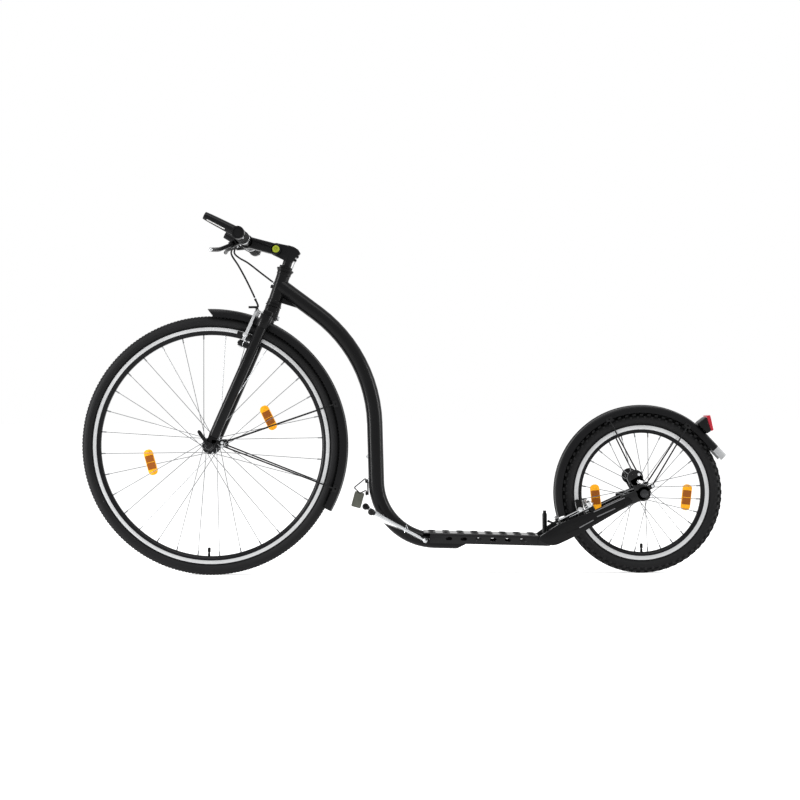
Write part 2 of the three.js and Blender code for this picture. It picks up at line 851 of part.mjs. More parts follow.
// The slot in the lower bend that the folded legs lie along
function standSlot() {
  const along = new THREE.Vector2(-Math.cos(standAngle), Math.sin(standAngle));
  const up = new THREE.Vector2(Math.sin(standAngle), Math.cos(standAngle));
  const corner = (reach, rise) => [
    standPivotX + along.x * reach + up.x * rise,
    standPivotZ + along.y * reach + up.y * rise,
  ];
  const near = sleeveRadius + slotLand;
  const outline = [
    corner(near, slotAbove * slotRootShare),
    corner(slotLength, slotAbove),
    corner(slotLength, -slotBelow),
    corner(slotMouth, -slotBelow),
    corner(slotKnee, -slotBelow * slotRootShare),
    corner(near, -slotBelow * slotRootShare),
  ];
  return plateXZ(outline, -mainTubeRadius * 2, mainTubeRadius * 2);
}

// The middle of the main tube's straight stretch at a height
function downTubePoint(height) {
  return upperCornerX + (upperCornerZ - height) * Math.tan(downLean);
}

function headTube() {
  const profile = sleeveProfile(headTubeRadius - headTubeWall, headTubeRadius, headTubeLow, headTubeHigh);
  const low = at(-cableStopForward, cableStopSide, cableStopZ);
  const high = at(-cableStopForward, cableStopSide, cableStopZ + cableStopLength);
  const stop = rod(low, high, cableStopRadius, 8);
  const foot = at(0, 0, headTubeLow - overrun);
  const crest = at(0, 0, headTubeHigh + overrun);
  const bore = rod(foot, crest, headTubeRadius - headTubeWall / 2, headTubeSides);
  return join(turnedZ(profile, headTubeSides), cut(stop, bore));
}

const lowerCup = [headTubeLow - gap - cupHeight, headTubeLow - gap, lowerCupRadius];
const upperCup = [headTubeHigh + gap, headTubeHigh + gap + cupHeight, upperCupRadius];

const headsetCup = ([low, high, radius]) =>
  turnedZ(sleeveProfile(steererRadius + steererClearance, radius, low, high), headTubeSides);

function deck() {
  const half = deckWidth / 2;
  const top = block(at(-deckLip, -half, -deckSheet), at(deckTopLength - deckLip, half, 0));
  const inner = half - deckSheet;
  const brace = block(
    at(braceStart, -half + deckSheet / 2, -deckDepth),
    at(braceStart + braceLength, half - deckSheet / 2, -deckDepth + braceSheet),
  );
  const left = block(at(0, -half, -deckDepth), at(deckLength, -inner, 0));
  const right = block(at(0, inner, -deckDepth), at(deckLength, half, 0));
  const ovals = Array.from({ length: sideHoleCount }, (_, i) =>
    plateXZ(
      capsule(sideHoleFirst + i * sideHolePitch, -sideHoleDepth, sideHoleLength, sideHoleHeight),
      -half - overrun,
      half + overrun,
    ),
  );
  const centres = [];
  for (let i = 0; i < gripHoleCount; i += 1) {
    const x = gripHoleFirst + i * gripHolePitch;
    centres.push([x, -gripHoleRow], [x, gripHoleRow]);
    if (i >= midHoleFirst) centres.push([x, 0]);
  }
  const upright = ([x, y], radius, low, high) => rod(at(x, y, low), at(x, y, high), radius, gripHoleSides);
  const collars = centres.map((centre) =>
    upright(centre, gripHoleRadius + gripCollarWidth, -deckSheet / 2, gripCollarHeight),
  );
  const holes = centres.map((centre) =>
    upright(centre, gripHoleRadius, -deckSheet - overrun, gripCollarHeight + overrun),
  );
  const tube = mainTubeSolid(mainTubeRadius + gap, overrun, deckFrame);
  return cut(join(top, left, right, brace, collars), ovals, holes, tube);
}

const armInner = deckWidth / 2 + gap;
const armMiddle = armInner + armWidth / 2;
const dropoutInner = armMiddle - dropoutThickness / 2;
const dropoutOuter = armMiddle + dropoutThickness / 2;

function rearArm(side) {
  const outline = armOutlineShares.map(([along, down]) => [-along * armReach, -down * armFall]);
  const [low, high] = side < 0 ? [-armInner - armWidth, -armInner] : [armInner, armInner + armWidth];
  return join(plateXZ(outline, low, high), dropout(side), brakeStud(rearBrake, side, rearFrame));
}

// The dropout plate at an arm's end
function dropout(side) {
  const low = side < 0 ? -dropoutOuter : dropoutInner;
  const high = side < 0 ? -dropoutInner : dropoutOuter;
  const lobe = [dropoutLobeX, dropoutLobeZ];
  const tongue = [-dropoutTongue * Math.cos(armSlope), -dropoutTongue * Math.sin(armSlope) + tongueRise];
  const plate = join(
    disc(0, 0, dropoutAxleRadius, low, high),
    disc(...lobe, dropoutLobe, low, high),
    plateXZ(strip([0, 0], lobe, dropoutWaist), low, high),
    plateXZ(strip([0, 0], tongue, tongueHalf), low, high),
    plateXZ(strip([0, dropoutTabRise], rearStayFeet[1], stayEyeRadius), low, high),
    rearStayFeet.map(([x, z]) => disc(x, z, stayEyeRadius, low, high, 8)),
  );
  const slot = ([x, z], [runX, runZ]) => [
    disc(x, z, dropoutSlotWidth / 2, low - overrun, high + overrun, 8),
    plateXZ(strip([x, z], [x + runX, z + runZ], dropoutSlotWidth / 2), low - overrun, high + overrun),
  ];
  const holes = rearStayFeet.map(([x, z]) => disc(x, z, stayRadius + gap, low - overrun, high + overrun, 8));
  return cut(plate, slot([0, 0], axleSlotRun), slot(upperSlotStart, upperSlotRun), holes);
}

// The cross tube between the arms, and the tab that the rear mudguard's front end lies on
function mudguardBridge() {
  const high = rearGuardRadius - guardThickness - gap;
  const tabStart = rearGuardTo - bridgeTabArc;
  const outer = arc(0, 0, high - bridgeTabSag, tabStart, bridgeAngle, 4);
  const inner = arc(0, 0, high - bridgeTabSag - bridgeTabThickness, tabStart, bridgeAngle, 4).reverse();
  const tab = plateXZ([...outer, ...inner], -bridgeTabHalf, bridgeTabHalf);
  const centre = around(bridgeAngle, rearGuardRadius, 0);
  return join(disc(centre.x, centre.z, bridgeRadius, -armInner + gap, armInner - gap, 8), tab);
}

function tailPost() {
  const half = deckWidth / 2 - deckSheet - gap;
  const floor = postPlateZ + postPlateThickness;
  const plate = block(
    at(postX - postPlateLength / 2, -half, postPlateZ),
    at(postX + postPlateLength / 2, half, floor),
  );
  const top = floor + postHeight;
  const stem = rod(at(postX, 0, postPlateZ), at(postX, 0, top), postRadius, 12);
  const cap = rod(at(postX, 0, top - gap), at(postX, 0, top + postCapHeight), postCapRadius, 12);
  return join(plate, stem, cap);
}

function standSleeve() {
  const profile = sleeveProfile(standPinRadius + gap, sleeveRadius, -sleeveHalf, sleeveHalf);
  return turnedY(profile, 12);
}

// Mudguards: a rounded sheet that follows a circle round the wheel
function guard(frame, path, half, drop, steps) {
  const outer = guardShoulderShares.map(([down, out]) => [out * half, -down * drop]);
  const inner = outer.map(([y, r], i) => [
    y - guardInnerShares[i][0] * guardThickness,
    r - guardInnerShares[i][1] * guardThickness,
  ]);
  const flip = (points) => points.map(([y, r]) => [-y, r]);
  const outline = [...outer, ...inner.toReversed(), ...flip(inner), ...flip(outer).reverse()];
  const section = new THREE.Shape(outline.map(([y, r]) => new THREE.Vector2(y, r)));
  const curve = new FlatCurve(path, frame, frame);
  return solid(new THREE.ExtrudeGeometry(section, { steps, bevelEnabled: false, extrudePath: curve }));
}

function frontGuard() {
  const path = new THREE.Path();
  path.absarc(0, 0, frontGuardRadius, frontGuardFrom, frontGuardTo, false);
  return guard(frontFrame, path, frontGuardHalf, frontGuardDrop, frontGuardSteps);
}

function rearGuard() {
  const flareArc = Math.acos(rearGuardRadius / (rearGuardRadius + rearFlare));
  const leave = rearGuardFrom + flareArc;
  const tip = around(rearGuardFrom, rearGuardRadius + rearFlare, 0);
  const start = around(leave, rearGuardRadius, 0);
  const path = new THREE.Path();
  path.moveTo(tip.x, tip.z);
  path.lineTo(start.x, start.z);
  path.absarc(0, 0, rearGuardRadius, leave, rearGuardTo, false);
  return guard(rearFrame, path, rearGuardHalf, rearGuardDrop, rearGuardSteps);
}

// A wire stay: a leg from an eye on each side of the axle to a clip that runs through inside the
// mudguard and hooks round both of its edges
function stay([x, z], angle, guardSize, inner, outer) {
  const { radius, half, drop } = guardSize;
  const edge = radius - drop - clipRoom;
  const low = edge - clipThickness;
  const band = radius - clipBandSag;
  const near = half - clipInset;
  const far = half + gap;
  const profile = [
    [near, band - clipSheet],
    [near, low],
    [far + clipThickness, low],
    [far + clipThickness, edge + clipDepth],
    [far, edge + clipDepth],
    [far, edge],
    [near + clipSheet, edge],
    [near + clipSheet, band],
  ];
  const other = profile.map(([y, r]) => [-y, r]).reverse();
  const axes = [axisY, around(angle, 1, 0), around(angle + Math.PI / 2, 1, 0)];
  const clip = slab([...profile, ...other], axes, -clipLength / 2, clipLength / 2);
  const legs = [-1, 1].flatMap((side) => {
    const foot = at(x, side * (inner - gap - stayRadius), z);
    const head = at(x, side * (outer + gap), z);
    const top = around(angle, edge - clipThickness / 2, side * (far + clipThickness / 2));
    return [
      rod(foot, top, stayRadius, staySides),
      rod(foot, head, stayRadius, staySides),
      rod(head, at(x, side * (outer + gap + stayBoltHead), z), stayBoltRadius, 6),
    ];
  });
  return join(clip, legs);
}

function tailLight() {
  const seat = around(lightAngle, rearGuardRadius, 0);
  const piece = (outline) =>
    plateXZ(outline.map(([x, z]) => [seat.x + x, seat.z + z]), -lightHalf, lightHalf);
  const foot = rearGuardRadius + gap;
  const guardSide = disc(0, 0, foot, -lightHalf - overrun, lightHalf + overrun, 60);
  return [cut(piece(lightBodyOutline), guardSide), piece(lensOutline)];
}

// Fork
function bladePoint(along, side) {
  const share = (along - bladeStart) / (bladeTop - bladeStart);
  return at(0, side * (bladeFootY + (bladeTopY - bladeFootY) * share), along);
}

function forkBlade(side) {
  const tube = rod(bladePoint(bladeStart, side), bladePoint(bladeTop, side), bladeRadius, bladeSides);
  const middle = side * bladeFootY;
  const low = middle - forkDropoutThickness / 2;
  const high = middle + forkDropoutThickness / 2;
  const eyes = frontStayFeet.map(([x, z]) => flat(across(frontFrame, forkFrame, at(x, 0, z))));
  const plate = join(
    disc(0, 0, forkDropoutRadius, low, high, 12),
    plateXZ(strip([0, 0], [0, bladeStart + forkTongue], forkDropoutRadius), low, high),
    plateXZ(strip([0, bladeStart / 2], eyes[0], stayTabRadius), low, high),
    plateXZ(strip(eyes[0], eyes[1], stayTabRadius), low, high),
    eyes.map(([x, z]) => disc(x, z, stayTabRadius, low, high, 8)),
  );
  const hole = roomFor(frontAxleRadius, 8);
  return cut(
    join(tube, plate, brakeStud(frontBrake, side, forkFrame)),
    disc(0, 0, hole, low - overrun, high + overrun, 8),
    plateXZ(strip([0, 0], [0, -forkDropoutRadius - overrun], hole), low - overrun, high + overrun),
    eyes.map(([x, z]) => disc(x, z, stayRadius + gap, low - overrun, high + overrun, 8)),
  );
}

// Crown with its two sockets, and the steerer that runs up through the head tube to its locknut
function forkCrown() {
  const inSteering = (point) => across(forkFrame, steeringFrame, point);
  const socket = (side, radius, low, high) =>
    rod(inSteering(bladePoint(low, side)), inSteering(bladePoint(high, side)), radius, bladeSides);
  const sockets = [-1, 1].map((side) =>
    socket(side, crownSocketRadius, bladeTop - crownSocketHeight, bladeTop + crownCap),
  );
  const bores = [-1, 1].map((side) =>
    socket(side, bladeRadius + gap, bladeTop - crownSocketHeight - overrun, bladeTop + gap),
  );
  const bottom = inSteering(at(0, 0, frontGuardRadius + crownClearance));
  const bridge = block(
    at(bottom.x - crownBridgeDepth / 2, -bladeTopY, bottom.z),
    at(bottom.x + crownBridgeDepth / 2, bladeTopY, bottom.z + crownBridgeHeight),
  );
  const neckTop = lowerCup[0] - gap;
  const boss = rod(at(0, 0, bottom.z), at(0, 0, neckTop), crownBossRadius, 12);
  const top = upperCup[1] + gap + locknutHeight;
  const locknut = rod(at(0, 0, upperCup[1] + gap), at(0, 0, top), locknutRadius, 8);
  const steerer = rod(at(0, 0, neckTop - overrun), at(0, 0, top), steererRadius, 12);
  const bore = rod(at(0, 0, top - quillDepth - overrun), at(0, 0, top + overrun), steererBore, 12);
  const bolt = crownBolt(crownBoltRadius + gap, 0);
  const guardRoom = across(frontFrame, steeringFrame, at(0, 0, 0));
  const arch = disc(guardRoom.x, guardRoom.z, frontGuardRadius + gap, -crownArchHalf, crownArchHalf, 90);
  return cut(join(sockets, bridge, boss, steerer, locknut), bores, bore, bolt, arch);
}

// Bolt fore and aft through the crown, which holds the mudguard
function crownBolt(radius, head) {
  const bottom = across(forkFrame, steeringFrame, at(0, 0, frontGuardRadius + crownClearance));
  const z = bottom.z + crownBridgeHeight / 2;
  const reach = crownBossRadius + gap;
  const along = (from, to, size, sides) => rod(at(from, 0, z), at(to, 0, z), size, sides);
  if (head === 0) return along(-reach - overrun, reach + overrun, radius, 8);
  const end = reach + crownBoltHead;
  return join(along(-end, end, radius, 8), along(-end, -reach, head, 6), along(reach, end, head, 6));
}

// Stem: a quill with its head, an arm that is set on a cross bolt, and the bar's clamp
function stemBase() {
  const steererTop = upperCup[1] + gap + locknutHeight;
  const quill = rod(at(0, 0, steererTop - quillDepth), at(0, 0, stemHeadLow), quillRadius, 12);
  const neck = rod(at(0, 0, steererTop + gap), at(0, 0, stemHeadBackLow), neckRadius, 12);
  const outline = [
    [stemPivotX, stemPivotZ - stemKnuckleRadius],
    [-neckRadius, stemHeadLow],
    [neckRadius, stemHeadLow],
    [stemBackX, stemHeadBackLow],
    [stemHeadBack, stemVisorZ],
    [stemVisorTip, stemVisorTipZ],
    [0, stemHeadTop],
    [stemPivotX, stemPivotZ + stemKnuckleRadius],
  ];
  const half = stemHeadWidth / 2;
  const knuckle = disc(stemPivotX, stemPivotZ, stemKnuckleRadius, -half, half, 12);
  const body = join(quill, neck, plateXZ(outline, -half, half), knuckle);
  return cut(body, disc(stemPivotX, stemPivotZ, stemPivotBoltRadius + gap, -half * 2, half * 2));
}

function stemArm() {
  const half = stemArmWidth / 2;
  const inner = stemHeadWidth / 2 + gap;
  const beam = plateXZ(strip([barX, barZ], [stemPivotX, stemPivotZ], stemArmDepth / 2), -half, half);
  const clamp = disc(barX, barZ, barClampRadius, -half, half, 12);
  const knuckle = disc(stemPivotX, stemPivotZ, stemArmDepth / 2, -half, half, 12);
  const room = disc(stemPivotX, stemPivotZ, stemKnuckleRadius + gap, -inner, inner, 16);
  const roomBack = block(
    at(stemPivotX, -inner, stemPivotZ - stemArmDepth),
    at(stemPivotX + stemArmDepth, inner, stemPivotZ + stemArmDepth),
  );
  const bore = disc(barX, barZ, roomFor(barBulgeRadius, barSides), -half * 2, half * 2, barSides);
  const bolt = disc(stemPivotX, stemPivotZ, stemPivotBoltRadius + gap, -half * 2, half * 2);
  return cut(join(beam, clamp, knuckle), room, roomBack, bore, bolt);
}

function stemPivotBolt() {
  const half = stemArmWidth / 2 + gap + stemCapOverhang;
  const cap = (from, to) => disc(stemPivotX, stemPivotZ, stemCapRadius, from, to, 12);
  return join(
    disc(stemPivotX, stemPivotZ, stemPivotBoltRadius, -half, half, 8),
    cap(half, half + stemCapThickness),
    cap(-half - stemCapThickness, -half),
  );
}

// Handlebar, with the clamped middle of a larger diameter
function handlebar() {
  const half = [
    [0, barHalf],
    [barRadius, barHalf],
    [barRadius, barBulgeHalf + barTaper],
    [barBulgeRadius, barBulgeHalf],
  ];
  const other = half.map(([r, y]) => [r, -y]).reverse();
  return turnedY([...half, ...other], barSides);
}

function grip(side) {
  const half = gripRibHalf;
  const profile = [[barRadius + gap, gripInner], [gripFlangeRadius, gripInner]];
  profile.push([gripFlangeRadius, gripInner + half * 2], [gripRadius, gripInner + half * 2]);
  profile.push([gripRadius, gripOuter], [barRadius + gap, gripOuter], [barRadius + gap, gripInner]);
  return turnedY(profile.map(([r, y]) => [r, side * y]), 12);
}

function barEnd(side) {
  const middle = (side * (barEndInner + barEndOuter)) / 2;
  const clamp = disc(
    0,
    0,
    barEndClampRadius,
    Math.min(side * barEndInner, side * barEndOuter),
    Math.max(side * barEndInner, side * barEndOuter),
    12,
  );
  const root = at(0, middle, 0);
  const tip = at(-barEndReach * Math.cos(barEndRise), middle, barEndReach * Math.sin(barEndRise));
  const horn = rod(root, tip, barEndRootRadius, 12, barEndTipRadius);
  const nose = ball(tip, barEndTipRadius, 8);
  const bore = disc(0, 0, barRadius + gap, -barHalf - gap, barHalf + gap, barSides);
  return cut(join(clamp, horn, nose), bore);
}

// Brake lever bracket: a clamp on the bar, a body and two cheeks that hold the lever's pin
function leverBracket(side) {
  const cheek = leverHalfThickness + gap + leverCheek;
  const flip = (outline) => outline.map(([x, y]) => [x, side * y]);
  const box = ([x1, y1], [x2, y2], low, high) =>
    plateXY(flip([[x1, y1], [x2, y1], [x2, y2], [x1, y2]]), low, high);
  const ring = turnedY(
    [[0, leverClampInner], [leverClampRadius, leverClampInner], [leverClampRadius, leverClampOuter]]
      .concat([[0, leverClampOuter]])
      .map(([r, y]) => [r, side * y]),
    12,
  );
  const body = box([-leverBodyFront, leverBodyInner], [0, leverBodyOuter], -cheek, cheek);
  const arms = box([-leverPivotForward, leverPivotY - leverRootRadius], [0, leverBodyOuter], -cheek, cheek);
  const eye = rod(
    at(-leverPivotForward, side * leverPivotY, -cheek),
    at(-leverPivotForward, side * leverPivotY, cheek),
    leverRootRadius,
    12,
  );
  const noseCorner = [-adjusterForward - adjusterRadius, leverBodyInner];
  const nose = box(noseCorner, [0, leverNoseOuter], -adjusterRadius, adjusterRadius);
  const room = leverHalfThickness + gap;
  const mouth = leverPivotY - leverRootRadius - gap * 2;
  const slot = box([-leverCheekFront, mouth], [-leverBodyFront, leverBodyOuter + overrun], -room, room);
  const pin = rod(
    at(-leverPivotForward, side * leverPivotY, -cheek),
    at(-leverPivotForward, side * leverPivotY, cheek),
    leverPinRadius,
    8,
  );
  const adjuster = rod(
    at(-adjusterForward, side * (leverBodyInner + overrun), 0),
    at(-adjusterForward, side * (leverBodyInner - adjusterLength), 0),
    adjusterRadius,
    8,
  );
  const bore = disc(0, 0, barRadius + gap, -barHalf, barHalf, barSides);
  const held = cut(join(body, arms, eye, nose), slot);
  return cut(join(held, ring, pin, adjuster), bore);
}

// Brake lever: a root on the pin, and a blade that runs out in front of the grip
function brakeLever(side) {
  const flip = ([x, y]) => [-x, side * y];
  const half = leverHalfThickness;
  const pivot = flip([leverPivotForward, leverPivotY]);
  const middle = flip([leverMidForward, leverMidY]);
  const tip = flip([leverTipForward, leverTipY]);
  const upright = ([x, y], radius, height) => rod(at(x, y, -height), at(x, y, height), radius, 10);
  const root = upright(pivot, leverRootRadius, half);
  const arm = plateXY(strip(pivot, middle, leverBladeThickness), -half, half);
  const blade = plateXY(strip(middle, tip, leverBladeThickness), -half, half);
  const knee = upright(middle, leverBladeThickness, half);
  const end = ball(at(tip[0], tip[1], 0), leverTipRadius, 8);
  return cut(join(root, arm, knee, blade, end), upright(pivot, leverPinRadius + gap, half * 2));
}

// Linear-pull brake: studs on the fork or the arms, and two arms with their pads.
// Each brake is described in a frame on the axle whose Z runs along the fork blade or the arm.
const frontBrake = {
  name: "front",
  face: -1,
  frame: forkFrame,
  seat: bladeRadius,
  boss: frontStudBoss,
  rimWidth: frontWheel.rimWidth,
  studY: frontStudY,
  reach: frontBrakeReach,
  pivot: frontPivotReach,
  padRadius: frontPadRadius,
};
const rearBrake = {
  name: "rear",
  face: 1,
  frame: armFrame,
  seat: brakeSeatRise - rearStudBoss,
  boss: rearStudBoss,
  rimWidth: rearWheel.rimWidth,
  studY: rearStudY,
  reach: rearBrakeReach,
  pivot: rearPivotReach,
  padRadius: rearPadRadius,
};

function brakeStud(brake, side, frame) {
  const point = (reach) =>
    across(brake.frame, frame, at(brake.face * reach, side * brake.studY, brake.pivot));
  const root = brake.seat - studRoot;
  const boss = brake.seat + brake.boss;
  const base = rod(point(root), point(boss), studBossRadius, 10);
  return join(base, rod(point(root), point(boss + studLength), studRadius, 10));
}

function brakeArm(brake, side) {
  const near = brake.seat + brake.boss + gap;
  const far = near + brakeBladeWidth + barrelOverhang;
  const x = (value) => brake.face * value;
  const y = side * brake.studY;
  const barrel = (radius, low, high) =>
    rod(at(x(low), y, brake.pivot), at(x(high), y, brake.pivot), radius, 10);
  const blade = (half, low, high) => {
    const outline = strip(
      [y, brake.pivot - brakeTail],
      [side * brakeTopY, brake.pivot + brake.reach],
      half,
    );
    return plateYZ(outline, Math.min(x(low), x(high)), Math.max(x(low), x(high)));
  };
  const arm = blade(brakeBladeThickness / 2, near, near + brakeBladeWidth);
  const pieces = [arm, barrel(barrelRadius, near, far)];
  if (side < 0) pieces.push(noodle(brake));
  const bore = barrel(roomFor(studRadius, 10), near - overrun, far + overrun);
  return join(cut(join(pieces), bore), brakePad(brake, side));
}

function padPlace(brake) {
  const reach = brake.seat + brake.boss + gap + brakeBladeWidth / 2;
  const up = Math.sqrt(brake.padRadius * brake.padRadius - reach * reach);
  return [brake.face * reach, up];
}

function padPost(brake, side, radius, length) {
  const [x, z] = padPlace(brake);
  const from = brake.rimWidth / 2 + padGap + padThickness / 2;
  return rod(at(x, side * from, z), at(x, side * (from + length), z), radius, 8);
}

// One pad with its threaded post and the nut outside the arm
function brakePad(brake, side) {
  const [x, z] = padPlace(brake);
  const inner = brake.rimWidth / 2 + padGap;
  const turn = new THREE.Vector2(z, -x).normalize();
  const outline = strip(
    [x - turn.x * (padLength / 2), z - turn.y * (padLength / 2)],
    [x + turn.x * (padLength / 2), z + turn.y * (padLength / 2)],
    padHeight / 2,
  );
  const low = side < 0 ? -inner - padThickness : inner;
  const high = side < 0 ? -inner : inner + padThickness;
  const lean = (brake.studY - brakeTopY) / (brake.reach + brakeTail);
  const outer = brake.studY - (z - brake.pivot + brakeTail) * lean + brakeBladeThickness;
  const nut = rod(at(x, side * outer, z), at(x, side * (outer + padNut), z), padPostRadius * 2, 6);
  const post = padPost(brake, side, padPostRadius, outer - inner);
  return join(plateXZ(outline, low, high), post, nut);
}

// The bent pipe that leads the cable into the left arm's top
function noodleCourse(brake) {
  const x = brake.face * (brake.seat + brake.boss + gap + brakeBladeWidth / 2);
  const z = brake.pivot + brake.reach;
  return [
    at(x, -brakeTopY, z - noodleSeat),
    at(x, -brakeTopY - noodleOut * noodleShares[0], z + noodleSeat),
    at(x, -brakeTopY - noodleOut, z + noodleRise * noodleShares[1]),
    at(x + brake.face * noodleForward, -brakeTopY - noodleOut * noodleShares[2], z + noodleRise),
  ];
}

function noodle(brake) {
  const course = noodleCourse(brake);
  const { x, z } = course[0];
  const curve = new THREE.CatmullRomCurve3(course);
  const bent = sweep(curve, noodleRadius, 6, 7);
  const boot = rod(
    at(x, -brakeTopY, z),
    at(x, brakeTopY - bootRoom, z),
    bootRadius,
    10,
    noodleRadius,
  );
  return join(bent, boot);
}

// Folding stand: a pin through the sleeve, and a leg down each side of the main tube
function standLegs() {
  const pin = disc(0, 0, standPinRadius, -legRootY, legRootY, 10);
  const leg = (side, length) => {
    const root = at(0, side * legRootY, 0);
    const knee = at(-length * legKneeShare, side * legRootY, 0);
    const foot = at(-length, side * legFootY, 0);
    return join(
      rod(root, knee, legRadius, 8),
      ball(knee, legRadius, 8),
      rod(knee, foot, legRadius, 8),
      ball(root, standPinRadius, 8),
    );
  };
  return join(pin, leg(-1, leftLegLength), leg(1, rightLegLength));
}

function standFoot(side, length) {
  const centre = at(-length, side * legFootY, 0);
  const knee = at(-length * legKneeShare, side * legRootY, 0);
  const sphere = ball(centre, footRadius, 8);
  return cut(sphere, rod(knee, centre, legRadius + gap, 8), ball(centre, legRadius + gap, 8));
}

// Keeper: a clip on the front of the main tube, and a plate that hangs on a wire gate
function keeperClip() {
  const height = keeperHigh - keeperLow;
  const back = keeperBarrelRadius + keeperClipThickness;
  const strap = block(
    at(keeperWireRadius + gap, -keeperClipHalf, -keeperBarrelHalf),
    at(back, keeperClipHalf, height + keeperBarrelHalf),
  );
  const profile = (middle) =>
    sleeveProfile(
      keeperWireRadius + gap,
      keeperBarrelRadius,
      middle - keeperBarrelHalf,
      middle + keeperBarrelHalf,
    );
  const bore = rod(at(0, 0, -height), at(0, 0, height * 2), keeperWireRadius + gap, 8);
  return cut(join(strap, turnedZ(profile(0), 8), turnedZ(profile(height), 8)), bore);
}

function keeperPlate() {
  const height = keeperHigh - keeperLow;
  const point = ([x, z]) => at(x, 0, z);
  const plateTop = [-keeperPlateReach, keeperPlateTop];
  const plateFoot = [
    -keeperPlateReach - keeperPlateLength * Math.sin(keeperPlateLean),
    keeperPlateTop - keeperPlateLength * Math.cos(keeperPlateLean),
  ];
  const outline = strip(plateTop, plateFoot, keeperPlateWidth / 2);
  const plate = plateXZ(outline, -keeperPlateThickness / 2, keeperPlateThickness / 2);
  const over = keeperBarrelHalf + keeperWireRise;
  const under = keeperBarrelHalf + keeperWireRadius;
  const route = [
    [[0, -under], [0, over], plateTop],
    [[0, height - under], [0, height + over], [-keeperBailReach, height / 2], plateTop],
  ];
  const wires = route.flatMap((points) =>
    points.flatMap((end, i) =>
      i === 0
        ? []
        : [
            rod(point(points[i - 1]), point(end), keeperWireRadius, 6),
            ball(point(end), keeperWireRadius, 6),
          ],
    ),
  );
  return join(plate, wires);
}

// Axles: a bar through the hub, with a locknut on each side of it
function axleBar(wheel, radius, inner, near, far) {
  const locks = [
    disc(0, 0, lockRadius, -inner + gap, -wheel.hubWidth / 2 - gap, 8),
    disc(0, 0, lockRadius, wheel.hubWidth / 2 + gap, inner - gap, 8),
  ];
  return join(disc(0, 0, radius, -near, far, 8), locks);
}

// A washer and a hexagon nut outside a dropout
function axleNut(side, outer) {
  const washer = outer + gap + washerThickness;
  const end = washer + axleNutLength;
  const ring = (radius, from, to, sides) =>
    side < 0 ? disc(0, 0, radius, -to, -from, sides) : disc(0, 0, radius, from, to, sides);
  return join(ring(washerRadius, outer + gap, washer, 12), ring(axleNutRadius, outer + gap, end, 6));
}

function rearAxle() {
  const reach = dropoutOuter + gap + washerThickness + axleNutLength + axleOverhang;
  const bar = axleBar(rearWheel, rearAxleRadius, dropoutInner, reach, reach);
  return join(bar, axleNut(-1, dropoutOuter), axleNut(1, dropoutOuter));
}

const frontStayFeet = [[stayTabReach, stayTabRise], [stayTabReach, stayTabRise - stayEyePitch]];
const forkInner = bladeFootY - forkDropoutThickness / 2;
const forkOuter = bladeFootY + forkDropoutThickness / 2;
const qrPivotY = forkOuter + gap + qrCup + gap + qrCamRadius;

function frontAxle() {
  const cup = forkOuter + gap;
  const bar = axleBar(frontWheel, frontAxleRadius, forkInner, cup, cup + axleNutLength);
  return join(bar, disc(0, 0, qrCupRadius, -cup - qrCup, -cup, 12), axleNut(1, forkOuter));
}

// Quick-release lever, which folds out from the fork about its cam
function qrLever() {
  const lever = [-Math.sin(qrLean), Math.cos(qrLean)];
  const cross = at(lever[1], 0, -lever[0]);
  const middle = at(0, -qrPivotY, 0);
  const cam = rod(
    middle.clone().addScaledVector(cross, -qrCamHalf),
    middle.clone().addScaledVector(cross, qrCamHalf),
    qrCamRadius,
    10,
  );
  const tip = [lever[0] * qrLength, lever[1] * qrLength];
  const low = -qrPivotY - qrThickness / 2;
  const high = -qrPivotY + qrThickness / 2;
  const handle = plateXZ(strip([0, 0], tip, qrHalfWidth), low, high);
  return join(cam, handle, disc(tip[0], tip[1], qrHalfWidth, low, high, 8));
}

// Brake cables, from each lever's adjuster
function cablePiece(points) {
  const curve = new THREE.CatmullRomCurve3(points);
  const steps = Math.round(curve.getLength() / (cableRadius * cableStepShare));
  return sweep(curve, cableRadius, cableSides, steps);
}

function leverEnd(side) {
  const home = leverFrames[side < 0 ? 0 : 1];
  const y = leverBodyInner - adjusterLength - gap;
  return [y, y - leverLead].map((out) =>
    across(home, frontFrame, at(-adjusterForward, side * out, 0)),
  );
}

function frontCable() {
  const [before, end] = noodleCourse(frontBrake).slice(-2);
  const way = end.clone().sub(before).normalize();
  const along = (reach) => across(forkFrame, frontFrame, end.clone().addScaledVector(way, reach));
  return cablePiece([
    ...leverEnd(-1),
    ...frontCableVia.map((point) => at(...point)),
    along(cableLead),
    along(gap * 2),
  ]);
}

function rearCable() {
  const top = cableStopZ + cableStopLength + gap;
  const above = (lead) =>
    across(steeringFrame, frontFrame, at(-cableStopForward, cableStopSide, top + lead));
  return cablePiece([
    ...leverEnd(1),
    ...rearCableVia.map((point) => at(...point)),
    above(stopLead),
    above(0),
  ]);
}

